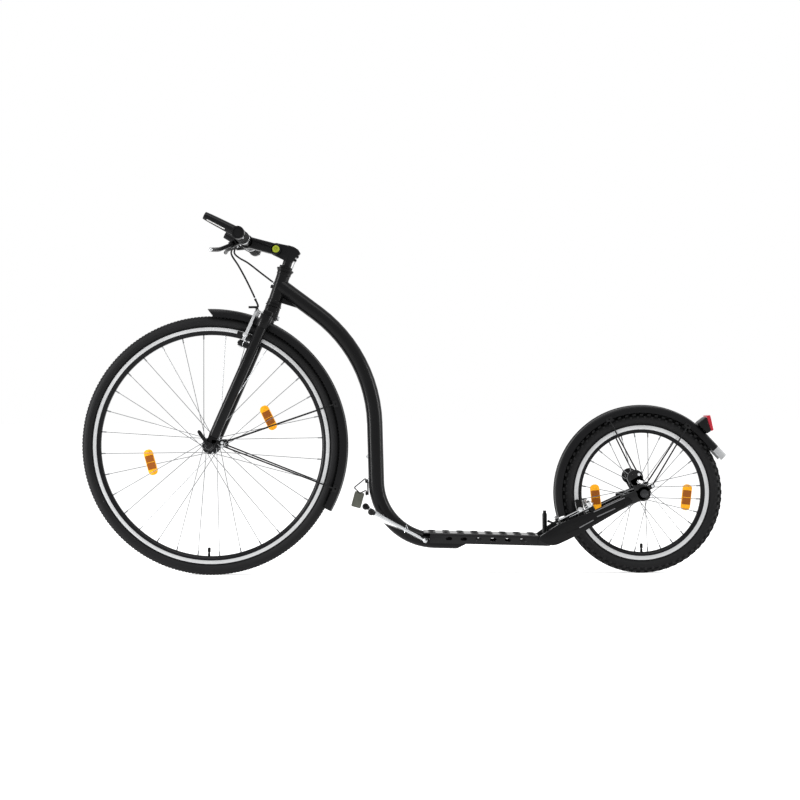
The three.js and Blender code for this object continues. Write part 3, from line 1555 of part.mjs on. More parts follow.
// The frame
place(bike, "main_tube", mainTube(), black);
place(steeringFrame, "head_tube", headTube(), black);
place(steeringFrame, "headset_cup_lower", headsetCup(lowerCup), steel);
place(steeringFrame, "headset_cup_upper", headsetCup(upperCup), steel);
place(deckFrame, "deck_plate", deck(), black);
place(rearFrame, "rear_arm_left", rearArm(-1), black);
place(rearFrame, "rear_arm_right", rearArm(1), black);
place(rearFrame, "mudguard_bridge", mudguardBridge(), black);
place(bike, "tail_post", tailPost(), black);
place(standFrame, "stand_sleeve", standSleeve(), black);
place(keeperFrame, "keeper_clip", keeperClip(), plastic);
place(rearFrame, "rear_axle", rearAxle(), steel);
place(rearFrame, "rear_mudguard", rearGuard(), plastic);
const rearGuardSize = { radius: rearGuardRadius, half: rearGuardHalf, drop: rearGuardDrop };
["front", "rear"].forEach((name, i) => {
  const wire = stay(rearStayFeet[i], rearStayAngles[i], rearGuardSize, dropoutInner, dropoutOuter);
  place(rearFrame, `rear_guard_stay_${name}`, wire, black);
});
const [lightBody, lightLens] = tailLight();
place(rearFrame, "tail_light_body", lightBody, plastic);
place(rearFrame, "tail_light_lens", lightLens, red);

// The wheels
wheelPieces(frontFrame, frontWheel, frontAxleRadius);
wheelPieces(rearFrame, rearWheel, rearAxleRadius);

// The steering
place(steeringFrame, "fork_crown", forkCrown(), black);
place(forkFrame, "fork_blade_left", forkBlade(-1), black);
place(forkFrame, "fork_blade_right", forkBlade(1), black);
place(frontFrame, "front_axle", frontAxle(), steel);
place(frontFrame, "qr_lever", qrLever(), plastic);
place(steeringFrame, "stem_base", stemBase(), black);
place(steeringFrame, "stem_arm", stemArm(), black);
place(steeringFrame, "stem_pivot_bolt", stemPivotBolt(), lime);
place(steeringFrame, "crown_bolt", crownBolt(crownBoltRadius, crownBoltHeadRadius), steel);
place(barFrame, "handlebar", handlebar(), black);
[[-1, "left"], [1, "right"]].forEach(([side, sideName], i) => {
  place(barFrame, `grip_${sideName}`, grip(side), rubber);
  place(barFrame, `bar_end_${sideName}`, barEnd(side), black);
  place(leverFrames[i], `lever_bracket_${sideName}`, leverBracket(side), plastic);
  place(leverFrames[i], `brake_lever_${sideName}`, brakeLever(side), plastic);
});
place(frontFrame, "front_mudguard", frontGuard(), plastic);
const frontGuardSize = { radius: frontGuardRadius, half: frontGuardHalf, drop: frontGuardDrop };
["upper", "lower"].forEach((name, i) => {
  const foot = frontStayFeet[i];
  const wire = stay(foot, frontStayAngles[i], frontGuardSize, forkInner, forkOuter);
  place(frontFrame, `front_guard_stay_${name}`, wire, black);
});
place(frontFrame, "front_brake_cable", frontCable(), cable);
place(frontFrame, "rear_brake_cable", rearCable(), cable);

// The brakes
for (const brake of [frontBrake, rearBrake]) {
  for (const [side, sideName] of [[-1, "left"], [1, "right"]]) {
    place(brake.frame, `${brake.name}_brake_arm_${sideName}`, brakeArm(brake, side), alloy);
  }
}

// The stand and the keeper's gate
place(standFrame, "kickstand_legs", standLegs(), steel);
place(standFrame, "kickstand_foot_left", standFoot(-1, leftLegLength), plastic);
place(standFrame, "kickstand_foot_right", standFoot(1, rightLegLength), plastic);
place(keeperFrame, "keeper_plate", keeperPlate(), olive);

// The origin is on the ground, below the middle of the whole
const whole = new THREE.Box3().setFromObject(bike, true);
bike.position.set(-(whole.min.x + whole.max.x) / 2, 0, -whole.min.z);

export default bike;
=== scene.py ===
"""A kick bike on a pale studio floor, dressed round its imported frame.

Each section makes one piece, or one group of like pieces, in the order in which the bike is put
together. Shapes are drawn in millimetres in the place that carries them, and then set in metres.
"""
import json
import math

import bmesh
import bpy
from mathutils import Matrix, Vector


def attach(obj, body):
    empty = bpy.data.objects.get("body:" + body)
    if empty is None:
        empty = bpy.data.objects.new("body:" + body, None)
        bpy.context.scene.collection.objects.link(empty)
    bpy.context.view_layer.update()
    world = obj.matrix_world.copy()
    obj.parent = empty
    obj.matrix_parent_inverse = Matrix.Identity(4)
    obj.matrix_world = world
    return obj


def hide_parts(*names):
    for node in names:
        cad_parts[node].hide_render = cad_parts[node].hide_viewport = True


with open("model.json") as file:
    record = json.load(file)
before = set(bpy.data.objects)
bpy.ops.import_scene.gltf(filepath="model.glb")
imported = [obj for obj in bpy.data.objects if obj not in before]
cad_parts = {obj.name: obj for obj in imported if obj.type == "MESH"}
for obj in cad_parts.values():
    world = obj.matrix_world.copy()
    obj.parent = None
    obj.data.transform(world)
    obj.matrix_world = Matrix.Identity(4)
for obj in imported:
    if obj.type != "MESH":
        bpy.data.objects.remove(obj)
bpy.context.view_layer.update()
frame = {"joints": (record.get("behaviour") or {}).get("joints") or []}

# Camera: a long lens at knee height, square on to the rider's left side of the bike. The
# photograph leans a third of a degree, so the camera does too.
joint = {one["name"]: one for one in frame["joints"]}
front_axle = Vector(joint["front_wheel_spin"]["pos_m"])
rear_axle = Vector(joint["rear_wheel_spin"]["pos_m"])
MM = 0.001
both_sides = ((-1, "left"), (1, "right"))
eye_distance = 4.5
eye_past_axle = 0.504
eye_height = 0.4653
picture_width = 2.1392
roll = math.radians(0.298)

lens = bpy.data.cameras.new("camera")
lens.lens = lens.sensor_width * eye_distance / picture_width
camera = bpy.data.objects.new("camera", lens)
stand_point = Vector((front_axle.x + eye_past_axle, -eye_distance, eye_height))
camera.matrix_world = (
    Matrix.Translation(stand_point)
    @ Matrix.Rotation(roll, 4, "Y")
    @ Matrix.Rotation(math.pi / 2, 4, "X")
)
bpy.context.scene.collection.objects.link(camera)
bpy.context.scene.camera = camera

# Studio: a white floor in a white room, seen as plain white by the camera and in the metal, with
# a wide soft lamp over the bike and a tall one at each end, for the light edges on the tubes.
white_level = 0.93
floor_glow = 0.55
floor_half = 30.0
sky_strength = 0.55


def node_setup(name):
    material = bpy.data.materials.new(name)
    material.use_nodes = True
    return material, material.node_tree.nodes, material.node_tree.links


def seen_directly(nodes, links):
    """One for the camera's own rays and for those that metal or clear plastic sends on."""
    ray = nodes.new("ShaderNodeLightPath")
    total = ray.outputs["Is Camera Ray"]
    for name in ("Is Glossy Ray", "Is Transmission Ray"):
        either = nodes.new("ShaderNodeMath")
        either.operation = "MAXIMUM"
        links.new(total, either.inputs[0])
        links.new(ray.outputs[name], either.inputs[1])
        total = either.outputs[0]
    return total


def studio_white():
    material, nodes, links = node_setup("studio_white")
    shader = nodes["Principled BSDF"]
    shader.inputs["Base Color"].default_value = (white_level, white_level, white_level, 1)
    shader.inputs["Roughness"].default_value = 0.9
    shader.inputs["Emission Color"].default_value = (1, 1, 1, 1)
    glow = nodes.new("ShaderNodeMath")
    glow.operation = "MULTIPLY"
    glow.inputs[1].default_value = floor_glow
    links.new(seen_directly(nodes, links), glow.inputs[0])
    links.new(glow.outputs[0], shader.inputs["Emission Strength"])
    return material


floor_mesh = bpy.data.meshes.new("floor")
shape = bmesh.new()
bmesh.ops.create_grid(shape, x_segments=1, y_segments=1, size=floor_half)
shape.to_mesh(floor_mesh)
shape.free()
floor = bpy.data.objects.new("floor", floor_mesh)
floor_mesh.materials.append(studio_white())
bpy.context.scene.collection.objects.link(floor)

world = bpy.data.worlds.new("studio")
world.use_nodes = True
bpy.context.scene.world = world
room, join_up = world.node_tree.nodes, world.node_tree.links.new
sky = room["Background"]
sky.inputs["Color"].default_value = (1, 1, 1, 1)
sky.inputs["Strength"].default_value = sky_strength
seen = room.new("ShaderNodeBackground")
seen.inputs["Color"].default_value = (1, 1, 1, 1)
mixed = room.new("ShaderNodeMixShader")
join_up(seen_directly(room, world.node_tree.links), mixed.inputs[0])
join_up(sky.outputs[0], mixed.inputs[1])
join_up(seen.outputs[0], mixed.inputs[2])
join_up(mixed.outputs[0], room["World Output"].inputs["Surface"])


def lamp(name, spot, aim, width, length, power):
    light = bpy.data.lights.new(name, "AREA")
    light.shape = "RECTANGLE"
    light.size = width
    light.size_y = length
    light.energy = power
    thing = bpy.data.objects.new(name, light)
    thing.location = spot
    thing.visible_camera = False
    thing.rotation_euler = (Vector(aim) - Vector(spot)).to_track_quat("-Z", "Y").to_euler()
    bpy.context.scene.collection.objects.link(thing)


lamp("lamp_above", (0.3, -1.2, 3.0), (0, 0, 0.4), 3.0, 1.0, 42)
lamp("lamp_left", (-3.2, -0.9, 1.0), (0, 0, 0.5), 0.6, 2.2, 105)
lamp("lamp_right", (3.2, -0.2, 1.0), (0, 0, 0.5), 0.5, 2.2, 65)
view = bpy.context.scene.view_settings
view.view_transform = "Standard"

# Rims: extruded black alloy with a hooked edge and a turned brake track on each side. The tube
# holes are drilled inside, one for each spoke, and the valve comes out at the bottom.


def place(origin, lean=0.0):
    """Millimetres round a point, turned about the axis across the bike."""
    turned = Matrix.Rotation(lean, 4, "Y")
    return Matrix.Translation(Vector(origin)) @ turned @ Matrix.Scale(MM, 4)


def moved(bm, matrix):
    bmesh.ops.transform(bm, matrix=matrix, verts=bm.verts)
    return bm


def finished(name, bm, where, body, materials, stands_for=(), smooth=35):
    """A mesh object made of the shape, with soft faces up to the smooth angle."""
    moved(bm, where)
    bmesh.ops.remove_doubles(bm, verts=bm.verts, dist=1e-6)
    bmesh.ops.recalc_face_normals(bm, faces=bm.faces)
    mesh = bpy.data.meshes.new(name)
    bm.to_mesh(mesh)
    bm.free()
    mesh.shade_smooth()
    mesh.set_sharp_from_angle(angle=math.radians(smooth))
    thing = bpy.data.objects.new(name, mesh)
    for material in materials:
        mesh.materials.append(material)
    bpy.context.scene.collection.objects.link(thing)
    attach(thing, body)
    if stands_for:
        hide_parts(*stands_for)
    return thing


def lathe(outline, steps, axis=(0, 1, 0), closed=True, turn=2 * math.pi):
    """A half section, radius and height, spun about an axis. Closed sections give rings."""
    bm = bmesh.new()
    along = Vector(axis)
    out = Vector((0, 0, 1)) if abs(along.x) > 0.5 else Vector((1, 0, 0))
    verts = [bm.verts.new(out * r + along * h) for r, h in outline]
    pairs = list(zip(verts, verts[1:]))
    if closed:
        pairs.append((verts[-1], verts[0]))
    edges = [bm.edges.new(pair) for pair in pairs]
    whole = abs(turn) > 6.28
    bmesh.ops.spin(
        bm, geom=verts + edges, cent=(0, 0, 0), axis=along, angle=turn, steps=steps, use_merge=whole
    )
    bmesh.ops.remove_doubles(bm, verts=bm.verts, dist=1e-4)
    return bm


def upright(outline, steps):
    """A solid turned on the Z axis, from a half section that starts and ends on it."""
    return lathe(outline, steps, (0, 0, 1), False)


def span(side, near, far):
    """The low and high ends of a thing between two distances on one side of the bike."""
    return sorted((side * near, side * far))


def mirrored(half):
    return half + [(r, -y) for r, y in reversed(half)]


def add_relief(material, height, strength, depth):
    """Puts a bump on the finish, so many millimetres deep, from a height in its nodes."""
    nodes, links = material.node_tree.nodes, material.node_tree.links
    relief = nodes.new("ShaderNodeBump")
    relief.inputs["Strength"].default_value = strength
    relief.inputs["Distance"].default_value = depth * MM
    links.new(height, relief.inputs["Height"])
    links.new(relief.outputs["Normal"], nodes["Principled BSDF"].inputs["Normal"])


def surface(
    name, colour, roughness, metallic=0.0, spread=0.06, shade=0.12, grain=900.0, bump=0.02, shine=0.12
):
    """A finish with a cloudy change of shade, a fine grain in its bump and an uneven gloss."""
    material, nodes, links = node_setup(name)
    shader = nodes["Principled BSDF"]
    shader.inputs["Metallic"].default_value = metallic
    shader.inputs["Specular IOR Level"].default_value = shine
    where = nodes.new("ShaderNodeTexCoord")
    cloud = nodes.new("ShaderNodeTexNoise")
    cloud.inputs["Scale"].default_value = 14.0
    cloud.inputs["Detail"].default_value = 6.0
    links.new(where.outputs["Object"], cloud.inputs["Vector"])
    tint = nodes.new("ShaderNodeMix")
    tint.data_type = "RGBA"
    tint.inputs["A"].default_value = tuple(c * (1 - shade) for c in colour) + (1,)
    tint.inputs["B"].default_value = tuple(min(1, c * (1 + shade)) for c in colour) + (1,)
    links.new(cloud.outputs["Fac"], tint.inputs["Factor"])
    links.new(tint.outputs["Result"], shader.inputs["Base Color"])
    fine = nodes.new("ShaderNodeTexNoise")
    fine.inputs["Scale"].default_value = grain
    fine.inputs["Detail"].default_value = 3.0
    links.new(where.outputs["Object"], fine.inputs["Vector"])
    gloss = nodes.new("ShaderNodeMapRange")
    gloss.inputs["To Min"].default_value = max(0.02, roughness - spread)
    gloss.inputs["To Max"].default_value = roughness + spread
    links.new(cloud.outputs["Fac"], gloss.inputs["Value"])
    links.new(gloss.outputs["Result"], shader.inputs["Roughness"])
    add_relief(material, fine.outputs["Fac"], 0.35, bump)
    return material


def turned_track(name, axle):
    """Bare alloy with the fine rings that the turning tool leaves round the axle."""
    material = surface(name, (0.52, 0.525, 0.53), 0.34, 0.45, grain=300, bump=0.005)
    nodes, links = material.node_tree.nodes, material.node_tree.links
    where = nodes.new("ShaderNodeTexCoord")
    centred = nodes.new("ShaderNodeMapping")
    centred.inputs["Location"].default_value = (-axle.x, 0, -axle.z)
    flat = nodes.new("ShaderNodeVectorMath")
    flat.operation = "MULTIPLY"
    flat.inputs[1].default_value = (1, 0, 1)
    reach = nodes.new("ShaderNodeVectorMath")
    reach.operation = "LENGTH"
    rings = nodes.new("ShaderNodeTexNoise")
    rings.noise_dimensions = "1D"
    rings.inputs["Scale"].default_value = 2600.0
    links.new(where.outputs["Object"], centred.inputs["Vector"])
    links.new(centred.outputs["Vector"], flat.inputs[0])
    links.new(flat.outputs["Vector"], reach.inputs[0])
    links.new(reach.outputs["Value"], rings.inputs["W"])
    add_relief(material, rings.outputs["Fac"], 0.5, 0.04)
    return material


rim_black = surface("rim_black", (0.005, 0.005, 0.006), 0.28, 0, grain=1500)
wheels = {
    "front": {
        "axle": front_axle, "tyre": 346.0, "flange": 318.0, "track": (306.5, 315.5), "inner": 295.3,
        "spokes": 32, "crosses": 3, "first": math.radians(3.8), "valve": math.radians(-91.7),
        "hub_gap": 66.0, "reflectors": (math.radians(195), math.radians(25.8)),
        "reflector_at": 169.0, "steps": 160,
    },
    "rear": {
        "axle": rear_axle, "tyre": 215.0, "flange": 182.0, "track": (169.0, 179.4), "inner": 159.0,
        "spokes": 28, "crosses": 2, "first": math.radians(6.2), "valve": math.radians(-90),
        "hub_gap": 62.0, "reflectors": (math.radians(186), math.radians(-6.5)),
        "reflector_at": 122.0, "steps": 128,
    },
}
rim_half = 12.0
for name, wheel in wheels.items():
    low, high = wheel["track"]
    inner, flange = wheel["inner"], wheel["flange"]
    half = [
        (inner, 4.5), (inner + 1.2, 7.0), (inner + 7, 11.0), (low - 0.8, rim_half - 0.5),
        (low, rim_half), (high, rim_half), (high + 0.8, rim_half - 0.3), (flange, rim_half - 0.6),
        (flange, 10.4), (flange - 8, 10.4), (flange - 9.5, 7.0), (flange - 12, 3.5),
    ]
    ring = lathe(mirrored(half), wheel["steps"])
    for face in ring.faces:
        middle = face.calc_center_median()
        reach = math.hypot(middle.x, middle.z)
        bare = low < reach < high and abs(middle.y) > rim_half - 0.1
        face.material_index = int(bare)
    track = turned_track(name + "_turned_track", wheel["axle"])
    body = name + "_wheel"
    finished(
        name + "_rim_profile", ring, place(wheel["axle"]), body, [rim_black, track],
        (name + "_rim",),
    )

# Tyres: black rubber. The big one is a road tyre with a fine file tread and two thin ribs round
# each side wall. The small one has six rows of moulded blocks that stand proud of the crown.
tyre_rubber = surface("tyre_rubber", (0.009, 0.009, 0.0095), 0.6, 0, shade=0.3, grain=700, bump=0.12)


def tread_block(bm, angle, reach, y, size, skew=0.0):
    """One block of rubber: its length round the wheel, its width and its height."""
    along, wide, tall = size
    spot = (
        Matrix.Rotation(-angle, 4, "Y")
        @ Matrix.Translation((reach, y, 0))
        @ Matrix.Rotation(math.asin(max(-1, min(1, y / 40))), 4, "Z")
        @ Matrix.Rotation(skew, 4, "X")
        @ Matrix.Diagonal((tall, wide, along, 1))
    )
    bmesh.ops.create_cube(bm, size=1, matrix=spot)


def tyre_section(wheel, half, crown, crown_shares):
    flange = wheel["flange"]
    height = crown - flange
    outer = [(flange - 8.5, 10.0), (flange + 0.3, 10.0)]
    outer += [(flange + up * height, out * half) for up, out in crown_shares]
    wall = 2.6
    inner = [(flange + up * (height - wall), out * (half - wall)) for up, out in reversed(crown_shares)]
    inner += [(flange + 0.3, 7.4), (flange - 8.5, 7.4)]
    return outer, inner


road_shares = [
    (0.1, 0.75), (0.2, 0.9), (0.24, 0.925), (0.27, 0.93), (0.3, 0.955), (0.42, 1.0), (0.5, 0.995),
    (0.53, 0.975), (0.56, 0.98), (0.7, 0.88), (0.82, 0.72), (0.92, 0.48), (0.98, 0.24), (1.0, 0.0),
]
block_shares = [
    (0.12, 0.78), (0.25, 0.95), (0.38, 1.0), (0.5, 0.98), (0.65, 0.9), (0.8, 0.74), (0.92, 0.5),
    (0.98, 0.25), (1.0, 0.0),
]


def tyre_shape(wheel, half, crown, shares):
    outer, inner = tyre_section(wheel, half, crown, shares)
    one_side = outer + [(r, -y) for r, y in reversed(outer[:-1])]
    other_side = [(r, -y) for r, y in reversed(inner[1:])]
    return lathe(one_side + other_side + inner, wheel["steps"])


front = wheels["front"]
road_crown = front["tyre"] - 0.8
tyre = tyre_shape(front, 17.3, road_crown, road_shares)
file_count = 230
for k in range(file_count):
    angle = 2 * math.pi * k / file_count
    for side in (-1, 1):
        tread_block(tyre, angle, road_crown - 0.25, side * 2.6, (5.2, 3.6, 1.6), side * 0.6)
        tread_block(tyre, angle + 0.012, road_crown - 3.0, side * 9.4, (4.2, 5.5, 1.7), side * -0.4)
finished(
    "front_road_tyre", tyre, place(front_axle), "front_wheel", [tyre_rubber], ("front_tyre",)
)

rear = wheels["rear"]
block_crown = rear["tyre"] - 3.2
tyre = tyre_shape(rear, 18.3, block_crown, block_shares)
block_count = 66
block_rows = [
    (True, 0.7, 4.4, (10.5, 6.4, 3.9), 0.12), (False, -3.2, 14.2, (9.0, 6.2, 5.2), -0.15),
    (True, -10.6, 17.6, (6.5, 2.6, 6.0), 0.1),
]
for k in range(block_count):
    angle = 2 * math.pi * k / block_count
    step = math.pi / block_count
    for side in (-1, 1):
        for on_right, rise, across, size, skew in block_rows:
            ahead = step * ((side > 0) == on_right)
            tread_block(tyre, angle + ahead, block_crown + rise, side * across, size, side * skew)
finished(
    "rear_block_tyre", tyre, place(rear_axle), "rear_wheel", [tyre_rubber], ("rear_tyre",)
)

# Inner tubes: black rubber rings inside the tyres. Only the valve shows, a black stem through
# the rim with a threaded cap.
valve_rubber = surface("valve_rubber", (0.006, 0.006, 0.006), 0.5, 0, grain=1200, bump=0.05)


def around(angle, reach, y=0.0):
    return Vector((reach * math.cos(angle), y, reach * math.sin(angle)))


def turned_to(start, end):
    """Sets a shape that stands on +Z from one point towards another."""
    run = Vector(end) - Vector(start)
    return Matrix.Translation(Vector(start)) @ run.to_track_quat("Z", "Y").to_matrix().to_4x4()


def add(bm, other, matrix=Matrix.Identity(4)):
    """Puts another shape into this one, moved by a matrix."""
    moved(other, matrix)
    carrier = bpy.data.meshes.new("carrier")
    other.to_mesh(carrier)
    other.free()
    bm.from_mesh(carrier)
    bpy.data.meshes.remove(carrier)
    return bm


def rod(bm, start, end, radius, sides=16, end_radius=None):
    run = Vector(end) - Vector(start)
    bmesh.ops.create_cone(
        bm,
        cap_ends=True,
        segments=sides,
        radius1=radius,
        radius2=radius if end_radius is None else end_radius,
        depth=run.length,
        matrix=turned_to(start, end) @ Matrix.Translation((0, 0, run.length / 2)),
    )


stem_profile = [
    (0, 0), (3.0, 0), (3.0, 9), (3.4, 9.5), (3.4, 18), (2.6, 18.5), (2.6, 20), (4.1, 20.5),
    (4.1, 30), (3.2, 32.5), (0, 33),
]
for name, wheel in wheels.items():
    tube_low = wheel["flange"] - 7
    tube_high = wheel["tyre"] - 9
    middle = (tube_low + tube_high) / 2
    radius = (tube_high - tube_low) / 2
    angles = [2 * math.pi * k / 14 for k in range(14)]
    circle = [(middle + radius * math.cos(angle), 8.5 * math.sin(angle)) for angle in angles]
    ring = lathe(circle, 72)
    at_rim = around(wheel["valve"], wheel["inner"] + 10)
    at_tip = around(wheel["valve"], wheel["inner"] - 20)
    add(ring, upright(stem_profile, 18), turned_to(at_rim, at_tip))
    body = name + "_wheel"
    finished(
        name + "_tube_valve", ring, place(wheel["axle"]), body, [valve_rubber],
        (name + "_inner_tube",),
    )

# Hubs and spokes: a black alloy hub shell with drilled flanges, and bright spokes laced in pairs
# that cross, each with its head at the flange and a nipple at the rim.
spoke_steel = surface("spoke_steel", (0.2, 0.205, 0.21), 0.3, 0.8, grain=200, bump=0.002)
hub_black = surface("hub_black", (0.008, 0.008, 0.009), 0.25, 0.2, grain=1500)
flange_radius = 22.0
hole_circle = 18.0


def painted(bm, index):
    for face in bm.faces:
        face.material_index = index
    return bm


for name, wheel in wheels.items():
    flange = wheel["hub_gap"] / 2
    half = [
        (5.2, 47), (9, 47), (10.5, 45.5), (10.5, flange + 3), (12, flange + 2),
        (flange_radius - 1, flange + 1.8), (flange_radius, flange + 0.9),
        (flange_radius, flange - 0.9), (flange_radius - 1, flange - 1.8), (15.5, flange - 2.2),
        (13, flange - 6), (11.5, flange - 12), (10.8, 4),
    ]
    shell = painted(lathe(mirrored(half), 40), 1)
    pitch = 2 * math.pi / wheel["spokes"]
    for k in range(wheel["spokes"]):
        side = -1 if k % 2 == 0 else 1
        leads = 1 if k % 4 < 2 else -1
        rim_angle = wheel["first"] + k * pitch
        hub_angle = rim_angle + leads * 2 * wheel["crosses"] * pitch
        lift = (flange + leads * 2.2) * side
        start = around(hub_angle, hole_circle, lift)
        end = around(rim_angle, wheel["inner"] + 1, 1.5 * side)
        run = (end - start).normalized()
        rod(shell, start, end, 0.95, 8)
        rod(shell, end - run * 12, end - run * 0.5, 2.0, 8, 1.8)
        rod(shell, around(hub_angle, hole_circle, lift - side * 2.6 * leads), start + run, 1.7, 8)
    body = name + "_wheel"
    finished(
        name + "_hub_and_spokes", shell, place(wheel["axle"]), body, [spoke_steel, hub_black],
        (name + "_hub_spokes",),
    )

# Reflectors: amber bars of clear plastic over a moulded prism grid, darker in the middle, with a
# thin bright line across and two clips that hold the spokes. The plastic has a faint painted glow.


def prism_plastic_painted_glow(name, colour, roughness):
    """Moulded lens plastic with a grid of small prisms in its bump and a painted glow."""
    material = surface(name, colour, roughness, 0, shade=0.2, shine=0.2)
    nodes, links = material.node_tree.nodes, material.node_tree.links
    shader = nodes["Principled BSDF"]
    # Painted glow: the plastic gives off a little light of its own colour, though it is no lamp.
    shader.inputs["Emission Color"].default_value = colour + (1,)
    shader.inputs["Emission Strength"].default_value = 0.25
    where = nodes.new("ShaderNodeTexCoord")
    cells = nodes.new("ShaderNodeTexVoronoi")
    cells.feature = "F1"
    cells.distance = "MANHATTAN"
    cells.inputs["Scale"].default_value = 330.0
    cells.inputs["Randomness"].default_value = 0.0
    links.new(where.outputs["Object"], cells.inputs["Vector"])
    add_relief(material, cells.outputs["Distance"], 0.7, 0.8)
    return material


amber_end = prism_plastic_painted_glow("amber_end", (0.95, 0.4, 0.01), 0.25)
amber_middle = prism_plastic_painted_glow("amber_middle", (0.26, 0.07, 0.003), 0.2)


def stadium(length, width, corner, steps=5):
    """A rounded rectangle, its length along the first axis."""
    points = []
    for sx, sy, start in ((1, 1, 0), (-1, 1, 90), (-1, -1, 180), (1, -1, 270)):
        for k in range(steps + 1):
            angle = math.radians(start + 90 * k / steps)
            x = sx * (length / 2 - corner) + corner * math.cos(angle)
            y = sy * (width / 2 - corner) + corner * math.sin(angle)
            points.append((x, y))
    return points


def plate(outline, low, high, bevel=0.0, segments=2):
    """An outline in X and Z, as thick across the bike as from low to high, with eased edges."""
    bm = bmesh.new()
    verts = [bm.verts.new((x, low, z)) for x, z in outline]
    face = bm.faces.new(verts)
    grown = bmesh.ops.extrude_face_region(bm, geom=[face])
    far_side = [v for v in grown["geom"] if isinstance(v, bmesh.types.BMVert)]
    bmesh.ops.translate(bm, verts=far_side, vec=(0, high - low, 0))
    bmesh.ops.recalc_face_normals(bm, faces=bm.faces)
    if bevel:
        rounded(bm, bevel, segments)
    return bm


def rounded(bm, width, segments=2):
    """Eases every edge that turns by more than thirty degrees."""
    sharp = [e for e in bm.edges if e.is_manifold and e.calc_face_angle(0) > math.radians(30)]
    bmesh.ops.bevel(
        bm, geom=sharp, offset=width, offset_type="OFFSET", affect="EDGES", segments=segments,
        profile=0.5, clamp_overlap=True,
    )
    return bm


def block(size, centre, bevel=0.0, segments=2):
    bm = bmesh.new()
    bmesh.ops.create_cube(
        bm, size=1, matrix=Matrix.Translation(centre) @ Matrix.Diagonal(tuple(size) + (1,)),
    )
    if bevel:
        rounded(bm, bevel, segments)
    return bm


for name, wheel in wheels.items():
    for k, angle in enumerate(wheel["reflectors"]):
        bar = plate(stadium(70, 25, 11), -4, 4, 1.6, 3)
        for side in (-1, 1):
            add(bar, painted(plate(stadium(38, 22, 2), side * 4.0, side * 4.5, 0.2, 1), 1))
            add(bar, block((1.2, 0.6, 22), (0, side * 4.4, 0)))
        deep = 10.5 if name == "front" else 5.4
        for along in (-27, 27):
            add(bar, block((8, 2 * deep, 6), (along, 0, 0), 1.2))
        spot = Matrix.Translation(around(angle, wheel["reflector_at"]))
        turn = spot @ Matrix.Rotation(-angle - math.pi / 2, 4, "Y")
        finished(
            f"{name}_reflector_bar_{k + 1}", bar, place(wheel["axle"]) @ turn, name + "_wheel",
            [amber_end, amber_middle], (f"{name}_reflector_{k + 1}",),
        )

# Main tube: one bent steel tube in gloss black paint, slotted at its lower bend for the legs of
# the folded stand, with a plate in the corner at the head and a slanted end under the deck. Two
# cage bolts stand on its front.
head_lean = math.radians(18.5)
blade_lean = math.radians(24)
deck_slope = math.radians(1.7)
bike = place((front_axle.x, 0, 0))
steering = place(joint["steering_turn"]["pos_m"], head_lean)
fork = place(front_axle, blade_lean)
deck = place((front_axle.x + 0.582, 0, 0.1134), deck_slope)
stand = place(joint["kickstand_fold"]["pos_m"], math.radians(28.4))
gloss_black = surface("gloss_black", (0.003, 0.003, 0.0033), 0.26, 0, spread=0.05, bump=0.004)
bright_steel = surface("bright_steel", (0.5, 0.51, 0.52), 0.26, 0.85, grain=400, bump=0.006)


def loose(bm):
    bmesh.ops.remove_doubles(bm, verts=bm.verts, dist=1e-4)
    bmesh.ops.recalc_face_normals(bm, faces=bm.faces)
    mesh = bpy.data.meshes.new("loose")
    bm.to_mesh(mesh)
    bm.free()
    thing = bpy.data.objects.new("loose", mesh)
    bpy.context.scene.collection.objects.link(thing)
    return thing


def as_shape(thing):
    """The finished mesh of an object, which is then thrown away."""
    graph = bpy.context.evaluated_depsgraph_get()
    mesh = bpy.data.meshes.new_from_object(thing.evaluated_get(graph), depsgraph=graph)
    bm = bmesh.new()
    bm.from_mesh(mesh)
    bpy.data.meshes.remove(mesh)
    bpy.data.objects.remove(thing)
    return bm


def single_shapes(bm):
    """Each closed shape of a mesh by itself."""
    bm.verts.index_update()
    left = set(bm.verts)
    shapes = []
    while left:
        reached = [left.pop()]
        for vert in reached:
            near = {edge.other_vert(vert) for edge in vert.link_edges} & left
            left -= near
            reached += near
        kept = {vert.index for vert in reached}
        shape = bm.copy()
        bmesh.ops.delete(shape, geom=[v for v in shape.verts if v.index not in kept], context="VERTS")
        shapes.append(shape)
    bm.free()
    return shapes


def carved(body, *cutters):
    """The body with the cutters taken away from each of its shapes."""
    tools = [loose(cutter) for cutter in cutters]
    whole = bmesh.new()
    for shape in single_shapes(body):
        base = loose(shape)
        for tool in tools:
            cut = base.modifiers.new("cut", "BOOLEAN")
            cut.operation = "DIFFERENCE"
            cut.solver = "EXACT"
            cut.object = tool
        add(whole, as_shape(base))
    for tool in tools:
        bpy.data.objects.remove(tool)
    return whole


def pipe(points, radius, sides=16):
    """A round bar along a route of points."""
    curve = bpy.data.curves.new("route", "CURVE")
    curve.dimensions = "3D"
    curve.twist_mode = "MINIMUM"
    curve.bevel_depth = radius
    curve.bevel_resolution = sides // 2 - 2
    curve.use_fill_caps = True
    line = curve.splines.new("POLY")
    line.points.add(len(points) - 1)
    for spot, point in zip(line.points, points):
        spot.co = tuple(point) + (1,)
    thing = bpy.data.objects.new("route", curve)
    bpy.context.scene.collection.objects.link(thing)
    bar = as_shape(thing)
    bmesh.ops.remove_doubles(bar, verts=bar.verts, dist=1e-3)
    return bar


